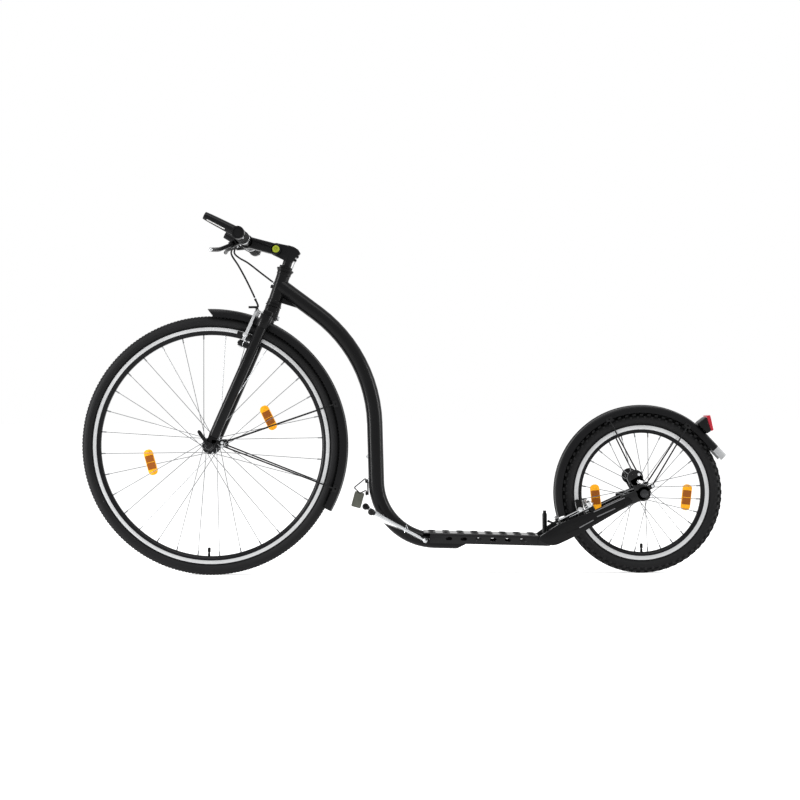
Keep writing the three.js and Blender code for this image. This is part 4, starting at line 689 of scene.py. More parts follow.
def bent_route(corners, radii):
    """Points along straight runs that meet in round bends."""
    corners = [Vector(corner) for corner in corners]
    route = [corners[0]]
    for before, corner, after, radius in zip(corners, corners[1:], corners[2:], radii):
        into = (corner - before).normalized()
        out = (after - corner).normalized()
        turn = into.angle(out)
        start = corner - into * radius * math.tan(turn / 2)
        axis = into.cross(out).normalized()
        centre = start + axis.cross(into) * radius
        steps = max(3, int(turn / 0.07))
        for k in range(steps + 1):
            route.append(centre + Matrix.Rotation(turn * k / steps, 3, axis) @ (start - centre))
    return route + [corners[-1]]


def post(start, end, radius, sides=32, bevel=0.0):
    bm = bmesh.new()
    rod(bm, start, end, radius, sides)
    return rounded(bm, bevel) if bevel else bm


def seen_from(frame_from, frame_to):
    return frame_to.inverted() @ frame_from


tube_corners = [(184.8, 0, 772.2), (432, 0, 587), (443.2, 0, 94.2), (727, 0, 85.8)]
tube_route = bent_route(tube_corners, [380, 160])
tube_radius = 21
tube = pipe(tube_route, tube_radius, 40)
gusset = plate([(188.3, 725.9), (232.3, 711.9), (232.3, 728), (184.8, 772.2)], -3, 3, 0.5)
slanted = moved(
    plate([(34, -65.3), (182, 18.7), (256, 18.7), (256, -65.3)], -42, 42), seen_from(deck, bike),
)
head_bore = moved(post((0, 0, 380), (0, 0, 540), 17.6), seen_from(steering, bike))
cup_room_low = moved(post((0, 0, 380), (0, 0, 413), 22), seen_from(steering, bike))
cup_room_high = moved(post((0, 0, 501), (0, 0, 540), 23.6), seen_from(steering, bike))
slot_outline = [(-14, 3.15), (-210, 7), (-210, -13), (-115, -13), (-68, -5.85), (-14, -5.85)]
leg_slot = moved(plate(slot_outline, -42, 42), seen_from(stand, bike))
sleeve_room = post((569, -42, 92), (569, 42, 92), 11.4)
tube = carved(add(tube, gusset), head_bore, cup_room_low, cup_room_high, leg_slot, sleeve_room, slanted)
down_lean = math.radians(1.3)
boss_profile = [(0, 19), (5.5, 19), (5.5, 22.2), (4.2, 23.2), (4.2, 24.6), (3.4, 25.4), (0, 25.4)]
for height in (250.5, 314.5):
    middle = 432 + (587 - height) * math.tan(down_lean)
    boss = lathe(boss_profile, 16, (-1, 0, 0), False)
    add(tube, painted(boss, 1), Matrix.Translation((middle, 0, height)))
finished(
    "main_tube_bent", tube, bike, "frame", [gloss_black, bright_steel], ("main_tube",),
)

# Head tube: a short steel tube with a thicker collar at each end, welded across the main tube. A
# small brazed stop for the rear brake cable stands on its front.
head_profile = [
    (15.8, 413), (18.7, 413), (19.2, 413.6), (19.2, 421), (18, 422.5), (18, 491.5), (19.2, 493),
    (19.2, 500.4), (18.7, 501), (15.8, 501),
]
head = lathe(head_profile, 56, (0, 0, 1))
stop = lathe([(2.4, 450), (4.2, 450), (4.5, 450.5), (4.5, 458.5), (4.2, 459), (2.4, 459)], 20, (0, 0, 1))
add(head, stop, Matrix.Translation((-20, 7, 0)))
finished("head_tube_collared", head, steering, "frame", [gloss_black], ("head_tube",))

# Headset cups: turned steel rings with a rolled lip, painted black, pressed on the ends of the
# head tube over and under its races.
lower_cup = [
    (15, 404.2), (20.2, 404.2), (21.5, 405.2), (21.5, 408), (19.8, 408.6), (19.8, 411),
    (20.6, 411.6), (20.6, 412.7), (15, 412.7),
]
upper_cup = [
    (15, 501.3), (20.4, 501.3), (21, 502), (21, 503.8), (22.2, 504.6), (23, 505.6), (23, 508.4),
    (21.6, 509.8), (15, 509.8),
]
for name, profile in (("lower", lower_cup), ("upper", upper_cup)):
    cup = lathe(profile, 48, (0, 0, 1))
    finished(
        "cup_" + name, cup, steering, "frame", [gloss_black], ("headset_cup_" + name,),
    )

# Fork crown: a steel bridge with a clamp socket on each side, on the steerer that runs up through
# the head tube to an eight-sided locknut. The wheel's mudguard hangs under it.
from_fork = seen_from(fork, steering)


def blade_point(along, side):
    share = (along - 26) / 346
    return Vector((0, side * (57 - 11 * share), along))


front_guard = 365


def disc(x, z, radius, low, high, bevel=0.0, sides=32):
    """A round bar across the bike, between two distances from its middle."""
    return post((x, low, z), (x, high, z), radius, sides, bevel)


bridge_low = from_fork @ Vector((0, 0, 366.3))
bolt_height = bridge_low.z + 13
crown = block((26, 80, 25.5), (bridge_low.x, 0, bolt_height), 5, 4)
add(crown, post((0, 0, bridge_low.z + 4), (0, 0, 403.8), 20, 48, 1.5))
for side in (-1, 1):
    socket = post(blade_point(342, side), blade_point(378, side), 16.5, 40, 2)
    blade_room = post(blade_point(338, side), blade_point(372.3, side), 14.3, 40)
    add(crown, carved(socket, blade_room), from_fork)
add(crown, post((0, 0, 400), (0, 0, 517), 14.3, 40))
add(crown, post((0, 0, 510.2), (0, 0, 516.9), 18, 8, 0.9))
crown = carved(crown, post((0, 0, 468), (0, 0, 530), 11.5, 32))
wheel_middle = seen_from(place(front_axle), steering) @ Vector((0, 0, 0))
arch = disc(wheel_middle.x, wheel_middle.z, front_guard + 0.3, -27, 27, 0, 180)
crown = carved(crown, arch)
crown = carved(crown, post((-30, 0, bolt_height), (30, 0, bolt_height), 3.8, 16))
finished("fork_crown_clamps", crown, steering, "steering", [gloss_black], ("fork_crown",))
bolt = post((-20.3, 0, bolt_height), (20.3, 0, bolt_height), 3.5, 16)
for side in (-1, 1):
    add(bolt, post((side * 20.3, 0, bolt_height), (side * 25.2, 0, bolt_height), 6, 6, 0.6))
finished("crown_cross_bolt", bolt, steering, "steering", [bright_steel], ("crown_bolt",))

# Fork blades: straight steel tubes, closed at the foot over flat dropouts that hold the axle and
# the eyes of the mudguard's stays. Each carries a boss with a pin for its brake arm.


def strip(start, end, half):
    """The outline of a straight strip between two points."""
    (x1, z1), (x2, z2) = start, end
    length = math.hypot(x2 - x1, z2 - z1)
    a, b = (x2 - x1) / length * half, (z2 - z1) / length * half
    return [(x1 - b, z1 + a), (x1 + b, z1 - a), (x2 + b, z2 - a), (x2 - b, z2 + a)]


def stud_outline(foot, ease):
    """The half section of a boss and the pin on it, thirty-four long from its foot."""
    low, high = foot + 17, foot + 33.4
    return [
        (0, foot), (8, foot), (8, low - 0.8), (ease, low), (4, low), (4, high), (3.4, high + 0.6),
        (0, high + 0.6),
    ]


front_home = place(front_axle)
into_fork = seen_from(front_home, fork)
front_eyes = [(34, 9), (34, 0)]
eye_spots = []
for x, z in front_eyes:
    eye = into_fork @ Vector((x, 0, z))
    eye_spots.append((eye.x, eye.z))
for side, side_name in both_sides:
    blade = post(blade_point(26, side), blade_point(371.6, side), 14, 48, 3)
    low, high = side * 57 - 3, side * 57 + 3
    add(blade, disc(0, 0, 13, low, high, 0.8))
    add(blade, plate(strip((0, 0), (0, 34), 12.8), low, high, 0.6))
    add(blade, plate(strip((0, 14), eye_spots[0], 5), low, high, 0.6))
    add(blade, plate(strip(eye_spots[0], eye_spots[1], 5), low, high, 0.6))
    for x, z in eye_spots:
        add(blade, disc(x, z, 5, low, high, 0.6))
    holes = [disc(x, z, 2.3, low - 4, high + 4) for x, z in eye_spots]
    slot = plate(strip((0, 0), (0, -20), 5.2), low - 4, high + 4)
    blade = carved(blade, disc(0, 0, 5.2, low - 4, high + 4), slot, *holes)
    stud = upright(stud_outline(9, 7.4), 28)
    add(blade, stud, Matrix.Translation((0, side * 49, 283)) @ Matrix.Rotation(-math.pi / 2, 4, "Y"))
    finished(
        "blade_" + side_name, blade, fork, "steering", [gloss_black], ("fork_blade_" + side_name,),
    )

# Stem: a forged quill head under a pressed cover, an arm that tilts on a cross bolt with lime
# caps, and a clamp round the bar with two screws at its front.
satin_black = surface("satin_black", (0.0035, 0.0035, 0.004), 0.3, 0, bump=0.02)
lime_anodised = surface("lime_anodised", (0.3, 0.35, 0.03), 0.35, 0.1, bump=0.01)
pivot = (-39.3, 551.7)
clamp = (-120.4, 546.7)
stem_outline = [
    (-39.3, 534.7), (-12.5, 531), (12.5, 531), (17, 548), (25.5, 560), (15, 570), (0, 573),
    (-39.3, 568.7),
]
base = plate(stem_outline, -12, 12, 2.6, 4)
add(base, disc(*pivot, 17, -12, 12, 1.5, 48))
add(base, post((0, 0, 475), (0, 0, 531.5), 11.1, 40))
add(base, upright([(0, 517.4), (12.5, 517.4), (12.5, 545), (0, 545)], 40))
base = carved(base, disc(*pivot, 4.3, -20, 20))
cover = [
    (-2, 569.5), (16, 567), (23.5, 560.4), (25.3, 561), (25.3, 562), (17, 569.3), (4, 572.8),
    (-12, 572.6),
]
add(base, plate(cover, -10, 10, 0.8, 3))
for side in (-1, 1):
    add(base, post((12, side * 6.5, 552.5), (23, side * 6.5, 550), 3.6, 16, 0.6))
    add(base, post((11, side * 6.5, 541), (20.5, side * 6.5, 539), 3.4, 16, 0.6))
add(base, painted(post((19.6, 0, 549), (17, 0, 514), 1.3, 12), 1))
finished(
    "stem_quill_head", base, steering, "steering", [satin_black, bright_steel], ("stem_base",),
)

arm = plate(strip(clamp, pivot, 14.5), -19, 19, 4, 4)
add(arm, disc(*clamp, 18, -19, 19, 2, 48))
add(arm, disc(*pivot, 14.5, -19, 19, 1.6, 48))
room = plate([(-39.3, 520), (-8, 520), (-8, 585), (-39.3, 585)], -12.4, 12.4)
arm = carved(
    arm, disc(*pivot, 17.4, -12.4, 12.4), room, disc(*clamp, 13.1, -30, 30),
    disc(*pivot, 4.3, -30, 30),
)
split = strip((clamp[0] - 24, clamp[1] - 1.5), (clamp[0] - 12, clamp[1] - 0.8), 0.7)
arm = carved(arm, plate(split, -30, 30))
for side in (-1, 1):
    for rise in (-11.5, 11.5):
        level = clamp[1] + rise
        screw_seat, screw_head = [(clamp[0] - x, side * 12, level) for x in (11, 16.8)]
        add(arm, painted(post(screw_seat, screw_head, 3.1, 16, 0.5), 1))
finished(
    "stem_tilting_arm", arm, steering, "steering", [satin_black, bright_steel], ("stem_arm",),
)

bolt = disc(*pivot, 4, -20.8, 20.8)
cap_profile = [
    (0, 20.9), (8.9, 20.9), (9.5, 21.5), (9.5, 22.9), (8.7, 23.8), (5.4, 23.8), (4.9, 23.2),
    (4.6, 22.2), (0, 22.2),
]
flipped = Matrix.Scale(-1, 4, (0, 1, 0))
for side in (-1, 1):
    cap = lathe(cap_profile, 48, closed=False)
    if side < 0:
        moved(cap, flipped)
    add(bolt, cap, Matrix.Translation((pivot[0], 0, pivot[1])))
finished(
    "stem_pivot_caps", bolt, steering, "steering", [lime_anodised], ("stem_pivot_bolt",),
)

# Handlebar: a straight alloy tube in satin black, thicker where the stem holds it and thinner
# under the grips.
bar_middle = (front_axle.x + 0.097225, 0, 0.88996)
bars = place(bar_middle)
half = [(9.2, 258), (11.1, 258), (11.1, 58), (12.7, 32)]
bar = lathe(mirrored(half), 48)
finished("handlebar_tube", bar, bars, "steering", [satin_black], ("handlebar",))

# Grips: moulded soft black rubber, with a raised ring at the inner end and rows of thin ribs
# round them.
grip_rubber = surface("grip_rubber", (0.008, 0.008, 0.0085), 0.7, 0, shade=0.25, grain=1400, bump=0.12)
rib_pitch = 3.8
for side, side_name in both_sides:
    profile = [(11.4, 122), (16.2, 122), (17, 122.8), (17, 125.2), (16.2, 126), (15.6, 126.6)]
    y = 129.0
    while y < 231:
        profile += [(15.6, y), (16, y + 0.5), (16, y + 2.1), (15.6, y + 2.6)]
        y += rib_pitch
    profile += [(15.6, 233), (16, 233.6), (16, 235.4), (15.4, 236), (11.4, 236)]
    grip = lathe([(r, side * y) for r, y in profile], 48)
    finished(
        "grip_ribbed_" + side_name, grip, bars, "steering", [grip_rubber], ("grip_" + side_name,),
    )

# Bar ends: short forged horns that taper to a flat round tip, each clamped on the bar's end by a
# ring with one screw. A light strip runs along the outer side, and a plug closes the bar.
strip_grey = surface("strip_grey", (0.6, 0.6, 0.59), 0.4, 0, bump=0.05)
horn_rise = math.radians(27.6)
for side, side_name in both_sides:
    y = side * 250
    horn = lathe([(11.4, -12), (15.8, -12), (16.5, -11.3), (16.5, 11.3), (15.8, 12), (11.4, 12)], 48)
    moved(horn, Matrix.Translation((0, y, 0)))
    profile = [
        (0, 0), (13, 0), (12.9, 20), (12.2, 45), (11.2, 75), (10.4, 88), (10, 94), (9.3, 95.8),
        (0, 96),
    ]
    limb = upright(profile, 32)
    lean = Matrix.Translation((0, y, 0)) @ Matrix.Rotation(horn_rise - math.pi / 2, 4, "Y")
    limb = carved(moved(limb, lean), disc(0, 0, 11.6, y - 30, y + 30))
    add(horn, limb)
    inlay = pipe([(-7.6, side * 9.6, 33), (-7.2, side * 8.6, 60), (-6.8, side * 7.8, 84)], 1.7, 12)
    add(horn, painted(inlay, 1), lean)
    add(horn, post((0, side * 258.2, 0), (0, side * 261, 0), 11.6, 40, 0.6))
    add(horn, painted(post((14, y, -11.5), (10, y, -12.5), 3, 6), 2))
    finished(
        "bar_end_horn_" + side_name, horn, bars, "steering",
        [satin_black, strip_grey, bright_steel], ("bar_end_" + side_name,),
    )

# Brake lever brackets: a moulded body on a clamp round the bar, two cheeks that hold the lever's
# pin, and a knurled adjuster where the cable goes in.
lever_plastic = surface("lever_plastic", (0.005, 0.005, 0.0055), 0.36, 0, bump=0.03)
levers = {side: place(bar_middle, math.radians(lean)) for side, lean in ((-1, -30), (1, -5))}
ball_silver = surface("ball_silver", (0.5, 0.51, 0.52), 0.25, 0.85, grain=300, bump=0.004)
pin_low, pin_high = Vector((-33, 113, -8.8)), Vector((-33, 113, 8.8))


def flat_plate(outline, low, high, bevel=0.0, segments=2):
    """An outline in X and Y, as thick as from low to high."""
    bm = plate(outline, low, high, bevel, segments)
    return moved(bm, Matrix(((1, 0, 0, 0), (0, 0, 1, 0), (0, 1, 0, 0), (0, 0, 0, 1))))


for side, side_name in both_sides:
    ring = lathe([(11.4, 98), (15.2, 98), (16, 98.8), (16, 111.2), (15.2, 112), (11.4, 112)], 40)
    held = flat_plate([(-24, 92), (-24, 122), (-8, 122), (-8, 92)], -8.8, 8.8, 2.6, 3)
    cheeks = [(-33, 105.5), (-25, 104), (-10, 104), (-10, 122), (-25, 122), (-33, 120.5)]
    add(held, flat_plate(cheeks, -8.8, 8.8, 0.8))
    add(held, post(pin_low, pin_high, 7.5, 32, 0.8))
    add(held, block((32, 11.6, 8.2), (-21.9, 98, 0), 1.6, 3))
    mouth = flat_plate([(-44, 104.9), (-24, 104.9), (-24, 126), (-44, 126)], -5.3, 5.3)
    bracket = carved(held, mouth, disc(0, 0, 11.5, 80, 130))
    add(bracket, painted(ring, 1))
    add(bracket, painted(post(pin_low, pin_high, 3, 24, 0.3), 1))
    add(bracket, painted(post((13, 105, -6), (13, 105, 6.5), 2.9, 16, 0.4), 1))
    knurl = [
        (0, 95), (2.6, 95), (2.6, 91.8), (4.2, 91.2), (4.2, 82.5), (3.4, 81.5), (3.4, 77),
        (3.0, 72), (0, 72),
    ]
    add(bracket, painted(lathe(knurl, 14, closed=False), 1), Matrix.Translation((-34, 0, 0)))
    if side < 0:
        moved(bracket, flipped)
    finished(
        "bracket_" + side_name, bracket, levers[side], "steering", [lever_plastic, ball_silver],
        ("lever_bracket_" + side_name,),
    )

# Brake levers: a flat forged blade that swings on its pin and bends out in front of the grip,
# ending in a bright ball.


def add_ball(bm, radius, centre, slices=24, rings=16):
    where = Matrix.Translation(centre)
    bmesh.ops.create_uvsphere(bm, u_segments=slices, v_segments=rings, radius=radius, matrix=where)


for side, side_name in both_sides:
    outline = [
        (-28, 107.5), (-26.6, 114), (-30.5, 119.5), (-36, 122), (-48, 133), (-58.5, 147),
        (-64, 158), (-71, 192), (-76.5, 222), (-78.4, 236), (-84.8, 236), (-82.6, 220), (-78, 190),
        (-71.5, 156), (-67.5, 147.5), (-57, 131), (-46, 117), (-40, 109.5), (-34, 105.8),
    ]
    blade = flat_plate(outline, -5, 5, 1.3, 3)
    add_ball(blade, 5.5, (-82, 238, 0))
    blade = carved(blade, post((-33, 113, -9), (-33, 113, 9), 3.3, 24))
    for face in blade.faces:
        if face.calc_center_median().y > 236.5:
            face.material_index = 1
    if side < 0:
        moved(blade, flipped)
    finished(
        "lever_blade_" + side_name, blade, levers[side], "brake_lever_" + side_name,
        [lever_plastic, ball_silver], ("brake_lever_" + side_name,),
    )

# Brakes: a pair of bright alloy arms on pins, each with a wire spring, a long pad in a thin shoe
# and its nut. The left arm holds a bent pipe for the cable, which runs through a rubber boot.
brushed_alloy = surface("brushed_alloy", (0.5, 0.505, 0.51), 0.3, 0.8, spread=0.1, grain=700, bump=0.02)
pad_rubber = surface("pad_rubber", (0.008, 0.008, 0.008), 0.8, 0, grain=1000, bump=0.15)
arms = place(rear_axle, -math.pi / 2 - math.radians(27.4))
boss_length = 12
brakes = {
    "front": {
        "face": -1, "home": fork, "seat": 14, "stud_y": 49, "reach": 100, "pivot": 283, "pad": 309,
    },
    "rear": {
        "face": 1, "home": arms, "seat": 21.8, "stud_y": 53, "reach": 96, "pivot": 141, "pad": 173,
    },
}
boot_folds = [
    (0, 0), (3, 0), (4.6, 1), (5, 4), (4.2, 5), (4.9, 7), (4.1, 9), (4.7, 11), (3.9, 13), (4.4, 15),
    (3.6, 18), (3.8, 21), (2.7, 26), (2.6, 42), (0, 42),
]
swap = Matrix(((0, 1, 0, 0), (1, 0, 0, 0), (0, 0, 1, 0), (0, 0, 0, 1)))


def smooth_route(points, steps):
    """A soft curve through the points."""
    ends = [2 * points[0] - points[1], *points, 2 * points[-1] - points[-2]]
    route = []
    for a, b, c, d in zip(ends, ends[1:], ends[2:], ends[3:]):
        for k in range(steps):
            t = k / steps
            square, cube = 2 * a - 5 * b + 4 * c - d, 3 * b - a - 3 * c + d
            route.append(0.5 * (2 * b + (c - a) * t + square * t**2 + cube * t**3))
    return route + [points[-1]]


for name, brake in brakes.items():
    face, pivot_up, reach = brake["face"], brake["pivot"], brake["reach"]
    stud_y, top = brake["stud_y"], pivot_up + reach
    near = brake["seat"] + boss_length + 0.4
    far = near + 14.2
    middle = near + 6
    pad_up = math.sqrt(brake["pad"] ** 2 - middle**2)
    thin = 1.5 if name == "front" else 4
    for side, side_name in both_sides:
        # The arm is drawn in Y and Z, with its thickness along X, and then set on its face.
        profile = strip((side * stud_y, pivot_up - 11), (side * 34, top), 3.5)
        arm = moved(plate(profile, *span(face, near + thin, near + 11 - thin), 1.5, 3), swap)
        hub_y = side * stud_y
        barrel = post((face * near, hub_y, pivot_up), (face * far, hub_y, pivot_up), 8.5, 40, 1)
        add(arm, painted(barrel, int(name == "front")))
        bore = post((face * (near - 3), hub_y, pivot_up), (face * (far + 3), hub_y, pivot_up), 4.3, 24)
        arm = carved(arm, bore)
        x = face * middle
        lean = (stud_y - 34) / (reach + 11)
        outer = stud_y - (pad_up - pivot_up + 11) * lean + 7
        turn = Matrix.Translation((x, 0, pad_up)) @ Matrix.Rotation(math.atan2(x, pad_up), 4, "Y")
        add(arm, painted(plate(stadium(50, 10, 3), *span(side, 14, 19.5), 0.8), 1), turn)
        add(arm, painted(plate(stadium(46, 9, 3), *span(side, 19.5, 23), 0.6), 1), turn)
        add(arm, post((x, side * 19, pad_up), (x, side * outer, pad_up), 3.2, 20))
        for start, end, radius in ((outer - 9, outer - 7.4, 6.2), (outer - 0.6, outer + 0.8, 6.4)):
            add(arm, post((x, side * start, pad_up), (x, side * end, pad_up), radius, 28, 0.3))
        add(arm, post((x, side * (outer + 0.8), pad_up), (x, side * (outer + 5), pad_up), 5.6, 6, 0.5))
        wire = smooth_route([
            Vector((face * (near + 1.2), side * (stud_y + 8), pivot_up - 4)),
            Vector((face * (near + 1.0), side * (stud_y + 6.2), pivot_up + 18)),
            Vector((face * (near + 1.2), side * (stud_y - 1), pivot_up + 62)),
        ], 8)
        add(arm, painted(pipe(wire, 0.8, 8), 2))
        if side < 0:
            bends = [
                (x, -34, top - 2), (x, -47.5, top + 2), (x, -52, top + 8.8),
                (x + face * 14, -52.9, top + 22),
            ]
            bend = smooth_route([Vector(spot) for spot in bends], 10)
            add(arm, painted(pipe(bend, 2.6, 20), 1))
            if name == "front":
                clip = post((105, -52, 712.6), (128, -52, 712.6), 3, 20, 0.6)
                add(arm, painted(moved(clip, seen_from(bike, fork)), 1))
            last_run = (bend[-1] - bend[-2]).normalized()
            add(arm, painted(post(bend[-1] - last_run * 5, bend[-1], 3.2, 20, 0.4), 1))
            add(arm, painted(upright(boot_folds, 24), 1), turned_to((x, -34, top - 2), (x, 8, top - 2)))
        else:
            add(arm, post((x - face * 6.4, 34.5, top - 6), (x + face * 6.4, 34.5, top - 6), 4.4, 6, 0.5))
        body = f"{name}_brake_{side_name}"
        finished(
            f"{name}_linear_arm_{side_name}", arm, brake["home"], body,
            [brushed_alloy, pad_rubber, bright_steel], (f"{name}_brake_arm_{side_name}",),
        )

# Brake cables: thin black housings in soft curves, the front one into the bent pipe of its left
# arm and the rear one into the stop on the head tube. Each has a metal end cap.
cable_black = surface("cable_black", (0.007, 0.007, 0.0075), 0.42, 0, bump=0.02)
to_axle = {side: seen_from(home, front_home) for side, home in levers.items()}
fork_to_axle = seen_from(fork, front_home)
steering_to_axle = seen_from(steering, front_home)
front_via = [(60, -50, 508), (78, -42, 477), (97, -42, 442)]
rear_via = [(58, 50, 520), (72, 39, 505), (97, 31, 490), (134, 22, 461), (152, 14, 447)]
routes = {
    "front": [to_axle[-1] @ Vector((-34, -71.7, 0)), to_axle[-1] @ Vector((-34, -62.7, 0))]
    + [Vector(point) for point in front_via]
    + [fork_to_axle @ Vector((-56.5, -53.6, 414.6)), fork_to_axle @ Vector((-46.7, -52.9, 405.4))],
    "rear": [to_axle[1] @ Vector((-34, 71.7, 0)), to_axle[1] @ Vector((-34, 62.7, 0))]
    + [Vector(point) for point in rear_via]
    + [steering_to_axle @ Vector((-20, 7, 465.3)), steering_to_axle @ Vector((-20, 7, 459.3))],
}
for name, points in routes.items():
    route = smooth_route(points, 8)
    housing = pipe(route, 2.4, 12)
    for k in (0, -1):
        tip, back = route[k], route[1 if k == 0 else -2]
        add(housing, painted(post(tip, tip + (back - tip).normalized() * 9, 2.5, 16, 0.3), 1))
    finished(
        name + "_cable_housing", housing, front_home, "steering", [cable_black, bright_steel],
        (name + "_brake_cable",),
    )

# Mudguards: moulded plastic strips, rounded across, with two raised lines along the crown and a
# rolled edge on each side. The rear one turns up into a light tail.
guard_plastic = surface("guard_plastic", (0.004, 0.004, 0.0045), 0.3, 0, shade=0.2, bump=0.03)
tail_grey = surface("tail_grey", (0.34, 0.345, 0.35), 0.35, 0, bump=0.03)


def guard_section(radius, half, drop):
    outer = [
        (radius - 1.2, 0), (radius - 1.2, 7), (radius, 8.2), (radius, 10.6), (radius - 1.2, 11.8),
        (radius - 1.6, half * 0.62), (radius - drop * 0.14, half * 0.8),
        (radius - drop * 0.36, half * 0.93), (radius - drop * 0.7, half * 0.985),
        (radius - drop, half),
    ]
    inner = [
        (radius - drop, half - 1.8), (radius - drop * 0.68, half - 2),
        (radius - drop * 0.38, half * 0.93 - 2), (radius - drop * 0.17 - 1.4, half * 0.79),
        (radius - 3.3, half * 0.6), (radius - 2.8, 0),
    ]
    one_side = outer + inner[:-1]
    return one_side + [(inner[-1][0], 0)] + [(r, -y) for r, y in reversed(one_side[1:])]


def open_edges(bm):
    return [edge for edge in bm.edges if edge.is_boundary]


def guard_strip(section, start, end, steps):
    bm = lathe(section, steps, turn=start - end)
    return moved(bm, Matrix.Rotation(-start, 4, "Y"))


strip_shape = guard_strip(guard_section(front_guard, 24, 22), math.radians(-29), math.radians(91.3), 90)
bmesh.ops.holes_fill(strip_shape, edges=open_edges(strip_shape), sides=0)
strip_shape = carved(
    strip_shape, plate([(-9, 366), (6.5, 346), (6.5, 338), (-40, 338), (-40, 366)], -40, 40),
)
finished(
    "front_guard_strip", strip_shape, front_home, "steering", [guard_plastic], ("front_mudguard",),
)

rear_home = place(rear_axle)
rear_guard = 234
tip_angle, tip_reach = math.radians(24), 247
leave = tip_angle + math.acos(rear_guard / tip_reach)
strip_shape = guard_strip(guard_section(rear_guard, 26, 21), leave, math.radians(196), 96)
tip_run = around(tip_angle, tip_reach) - around(leave, rear_guard)
tail_edges = [e for e in open_edges(strip_shape) if (e.verts[0].co + e.verts[1].co).x > 0]
for share in (0.3, 0.3, 0.4):
    grown = bmesh.ops.extrude_edge_only(strip_shape, edges=tail_edges)["geom"]
    tips = [v for v in grown if isinstance(v, bmesh.types.BMVert)]
    bmesh.ops.translate(strip_shape, verts=tips, vec=tip_run * share)
    tail_edges = [e for e in grown if isinstance(e, bmesh.types.BMEdge)]
for face in {face for e in tail_edges for face in e.link_faces}:
    face.material_index = 1
bmesh.ops.holes_fill(strip_shape, edges=open_edges(strip_shape), sides=0)
finished(
    "rear_guard_strip", strip_shape, rear_home, "frame", [guard_plastic, tail_grey],
    ("rear_mudguard",),
)

# Mudguard stays: black steel wires from the eyes of the dropouts to clips that hook both edges of
# the strip, with a bolt head at each end.
wire_black = surface("wire_black", (0.008, 0.008, 0.0085), 0.3, 0, bump=0.01)
rear_eyes = [(-14, 51), (22, 20)]
front_run = ("steering", front_home, front_guard, 24, 17, 54, 60)
rear_run = ("frame", rear_home, rear_guard, 26, 21, 54.3, 60.3)
stays = {
    "front_guard_stay_upper": (front_eyes[0], math.radians(18.3), front_run),
    "front_guard_stay_lower": (front_eyes[1], math.radians(-19.4), front_run),
    "rear_guard_stay_front": (rear_eyes[0], math.radians(114), rear_run),
    "rear_guard_stay_rear": (rear_eyes[1], math.radians(55.6), rear_run),
}
for name, ((x, z), angle, (body, home, radius, half, drop, inner, outer)) in stays.items():
    edge = radius - drop - 0.8
    band = radius - 8
    hook = half + 0.3
    near = half - 5.8
    profile = [
        (near, band - 2), (near, edge - 3), (hook + 3, edge - 3), (hook + 3, edge + 8),
        (hook, edge + 8), (hook, edge), (near + 2, edge), (near + 2, band),
    ]
    profile += [(-y, r) for y, r in reversed(profile)]
    clip = plate(profile, -9, 9, 0.5)
    out, along = around(angle, 1), around(angle + math.pi / 2, 1)
    turn = Matrix(((0, along.x, out.x, 0), (1, 0, 0, 0), (0, along.z, out.z, 0), (0, 0, 0, 1)))
    wires = moved(clip, turn)
    for side in (-1, 1):
        top = around(angle, edge - 1.5, side * (hook + 1.5))
        foot = Vector((x, side * (inner - 2.3), z))
        head = Vector((x, side * (outer + 0.3), z))
        add(wires, pipe([foot, top], 2, 12))
        add(wires, post(foot, head, 2, 16))
        add(wires, painted(post(head, head + Vector((0, side * 2.5, 0)), 4, 20, 0.7), 1))
        screw = around(angle, edge + 3, side * (hook + 2.6))
        add(wires, painted(post(screw, screw + Vector((0, side * 0.4, 0)), 2.6, 16), 1))
    finished(name + "_wire", wires, home, body, [wire_black, bright_steel], (name,))

# Tail light: a black housing screwed on the mudguard behind the wheel, and a red lens with fine
# upright ribs and a round cell moulded in its middle. The unlit lens has a faint painted glow.
# The red lens glows a little with painted light, like the reflectors.
red_lens = prism_plastic_painted_glow("red_lens", (0.34, 0.012, 0.025), 0.18)
box_black = surface("box_black", (0.004, 0.004, 0.004), 0.4, 0, bump=0.05)
seat = around(math.radians(44), rear_guard)
from_seat = Matrix.Translation(seat)
housing = moved(plate([(-18, 23), (2.7, 38.5), (14.7, 0.5), (-3, -10)], -30, 30, 2.5, 3), from_seat)
housing = carved(housing, disc(0, 0, rear_guard + 0.6, -40, 40, 0, 160))
finished(
    "tail_light_housing", housing, rear_home, "frame", [box_black], ("tail_light_body",),
)
lens = plate([(3.2, 41.5), (13, 43.5), (22, 3.5), (15.3, 0.5)], -29.8, 29.8, 2.2, 3)
for row in range(6):
    spot = Vector((12.9, 0, 40.5)).lerp(Vector((20.7, 0, 6)), row / 5)
    lean = Matrix.Rotation(math.radians(-12.7), 4, "Y")
    add(lens, block((0.5, 50, 3), (0, 0, 0), 0.2, 1), Matrix.Translation(spot) @ lean)
moved(lens, from_seat)
finished(
    "tail_light_lens_ribbed", lens, rear_home, "frame", [red_lens], ("tail_light_lens",),
)

# Deck: one folded steel sheet with round shoulders, pierced on top by holes whose edges stand up
# for grip, and by ovals in its sides. A plate is welded across below.
deck_black = surface("deck_black", (0.004, 0.004, 0.0045), 0.2, 0, spread=0.04, bump=0.004, shine=0.2)


def fold(width, depth, sheet, radius):
    """Half of a U section, outer line and inner line, from the foot of the side to the middle."""
    half, steps = width / 2, 5
    outer = [(half, -depth)]
    inner = [(half - sheet, -depth)]
    for k in range(steps + 1):
        angle = math.pi / 2 * k / steps
        outer.append((half - radius + radius * math.cos(angle), -radius + radius * math.sin(angle)))
        tight = radius - sheet
        inner.append((half - radius + tight * math.cos(angle), -radius + tight * math.sin(angle)))
    return outer, inner


def run_along(section, start, end):
    """A section in Y and Z, drawn out along X."""
    return moved(plate(section, start, end), swap)


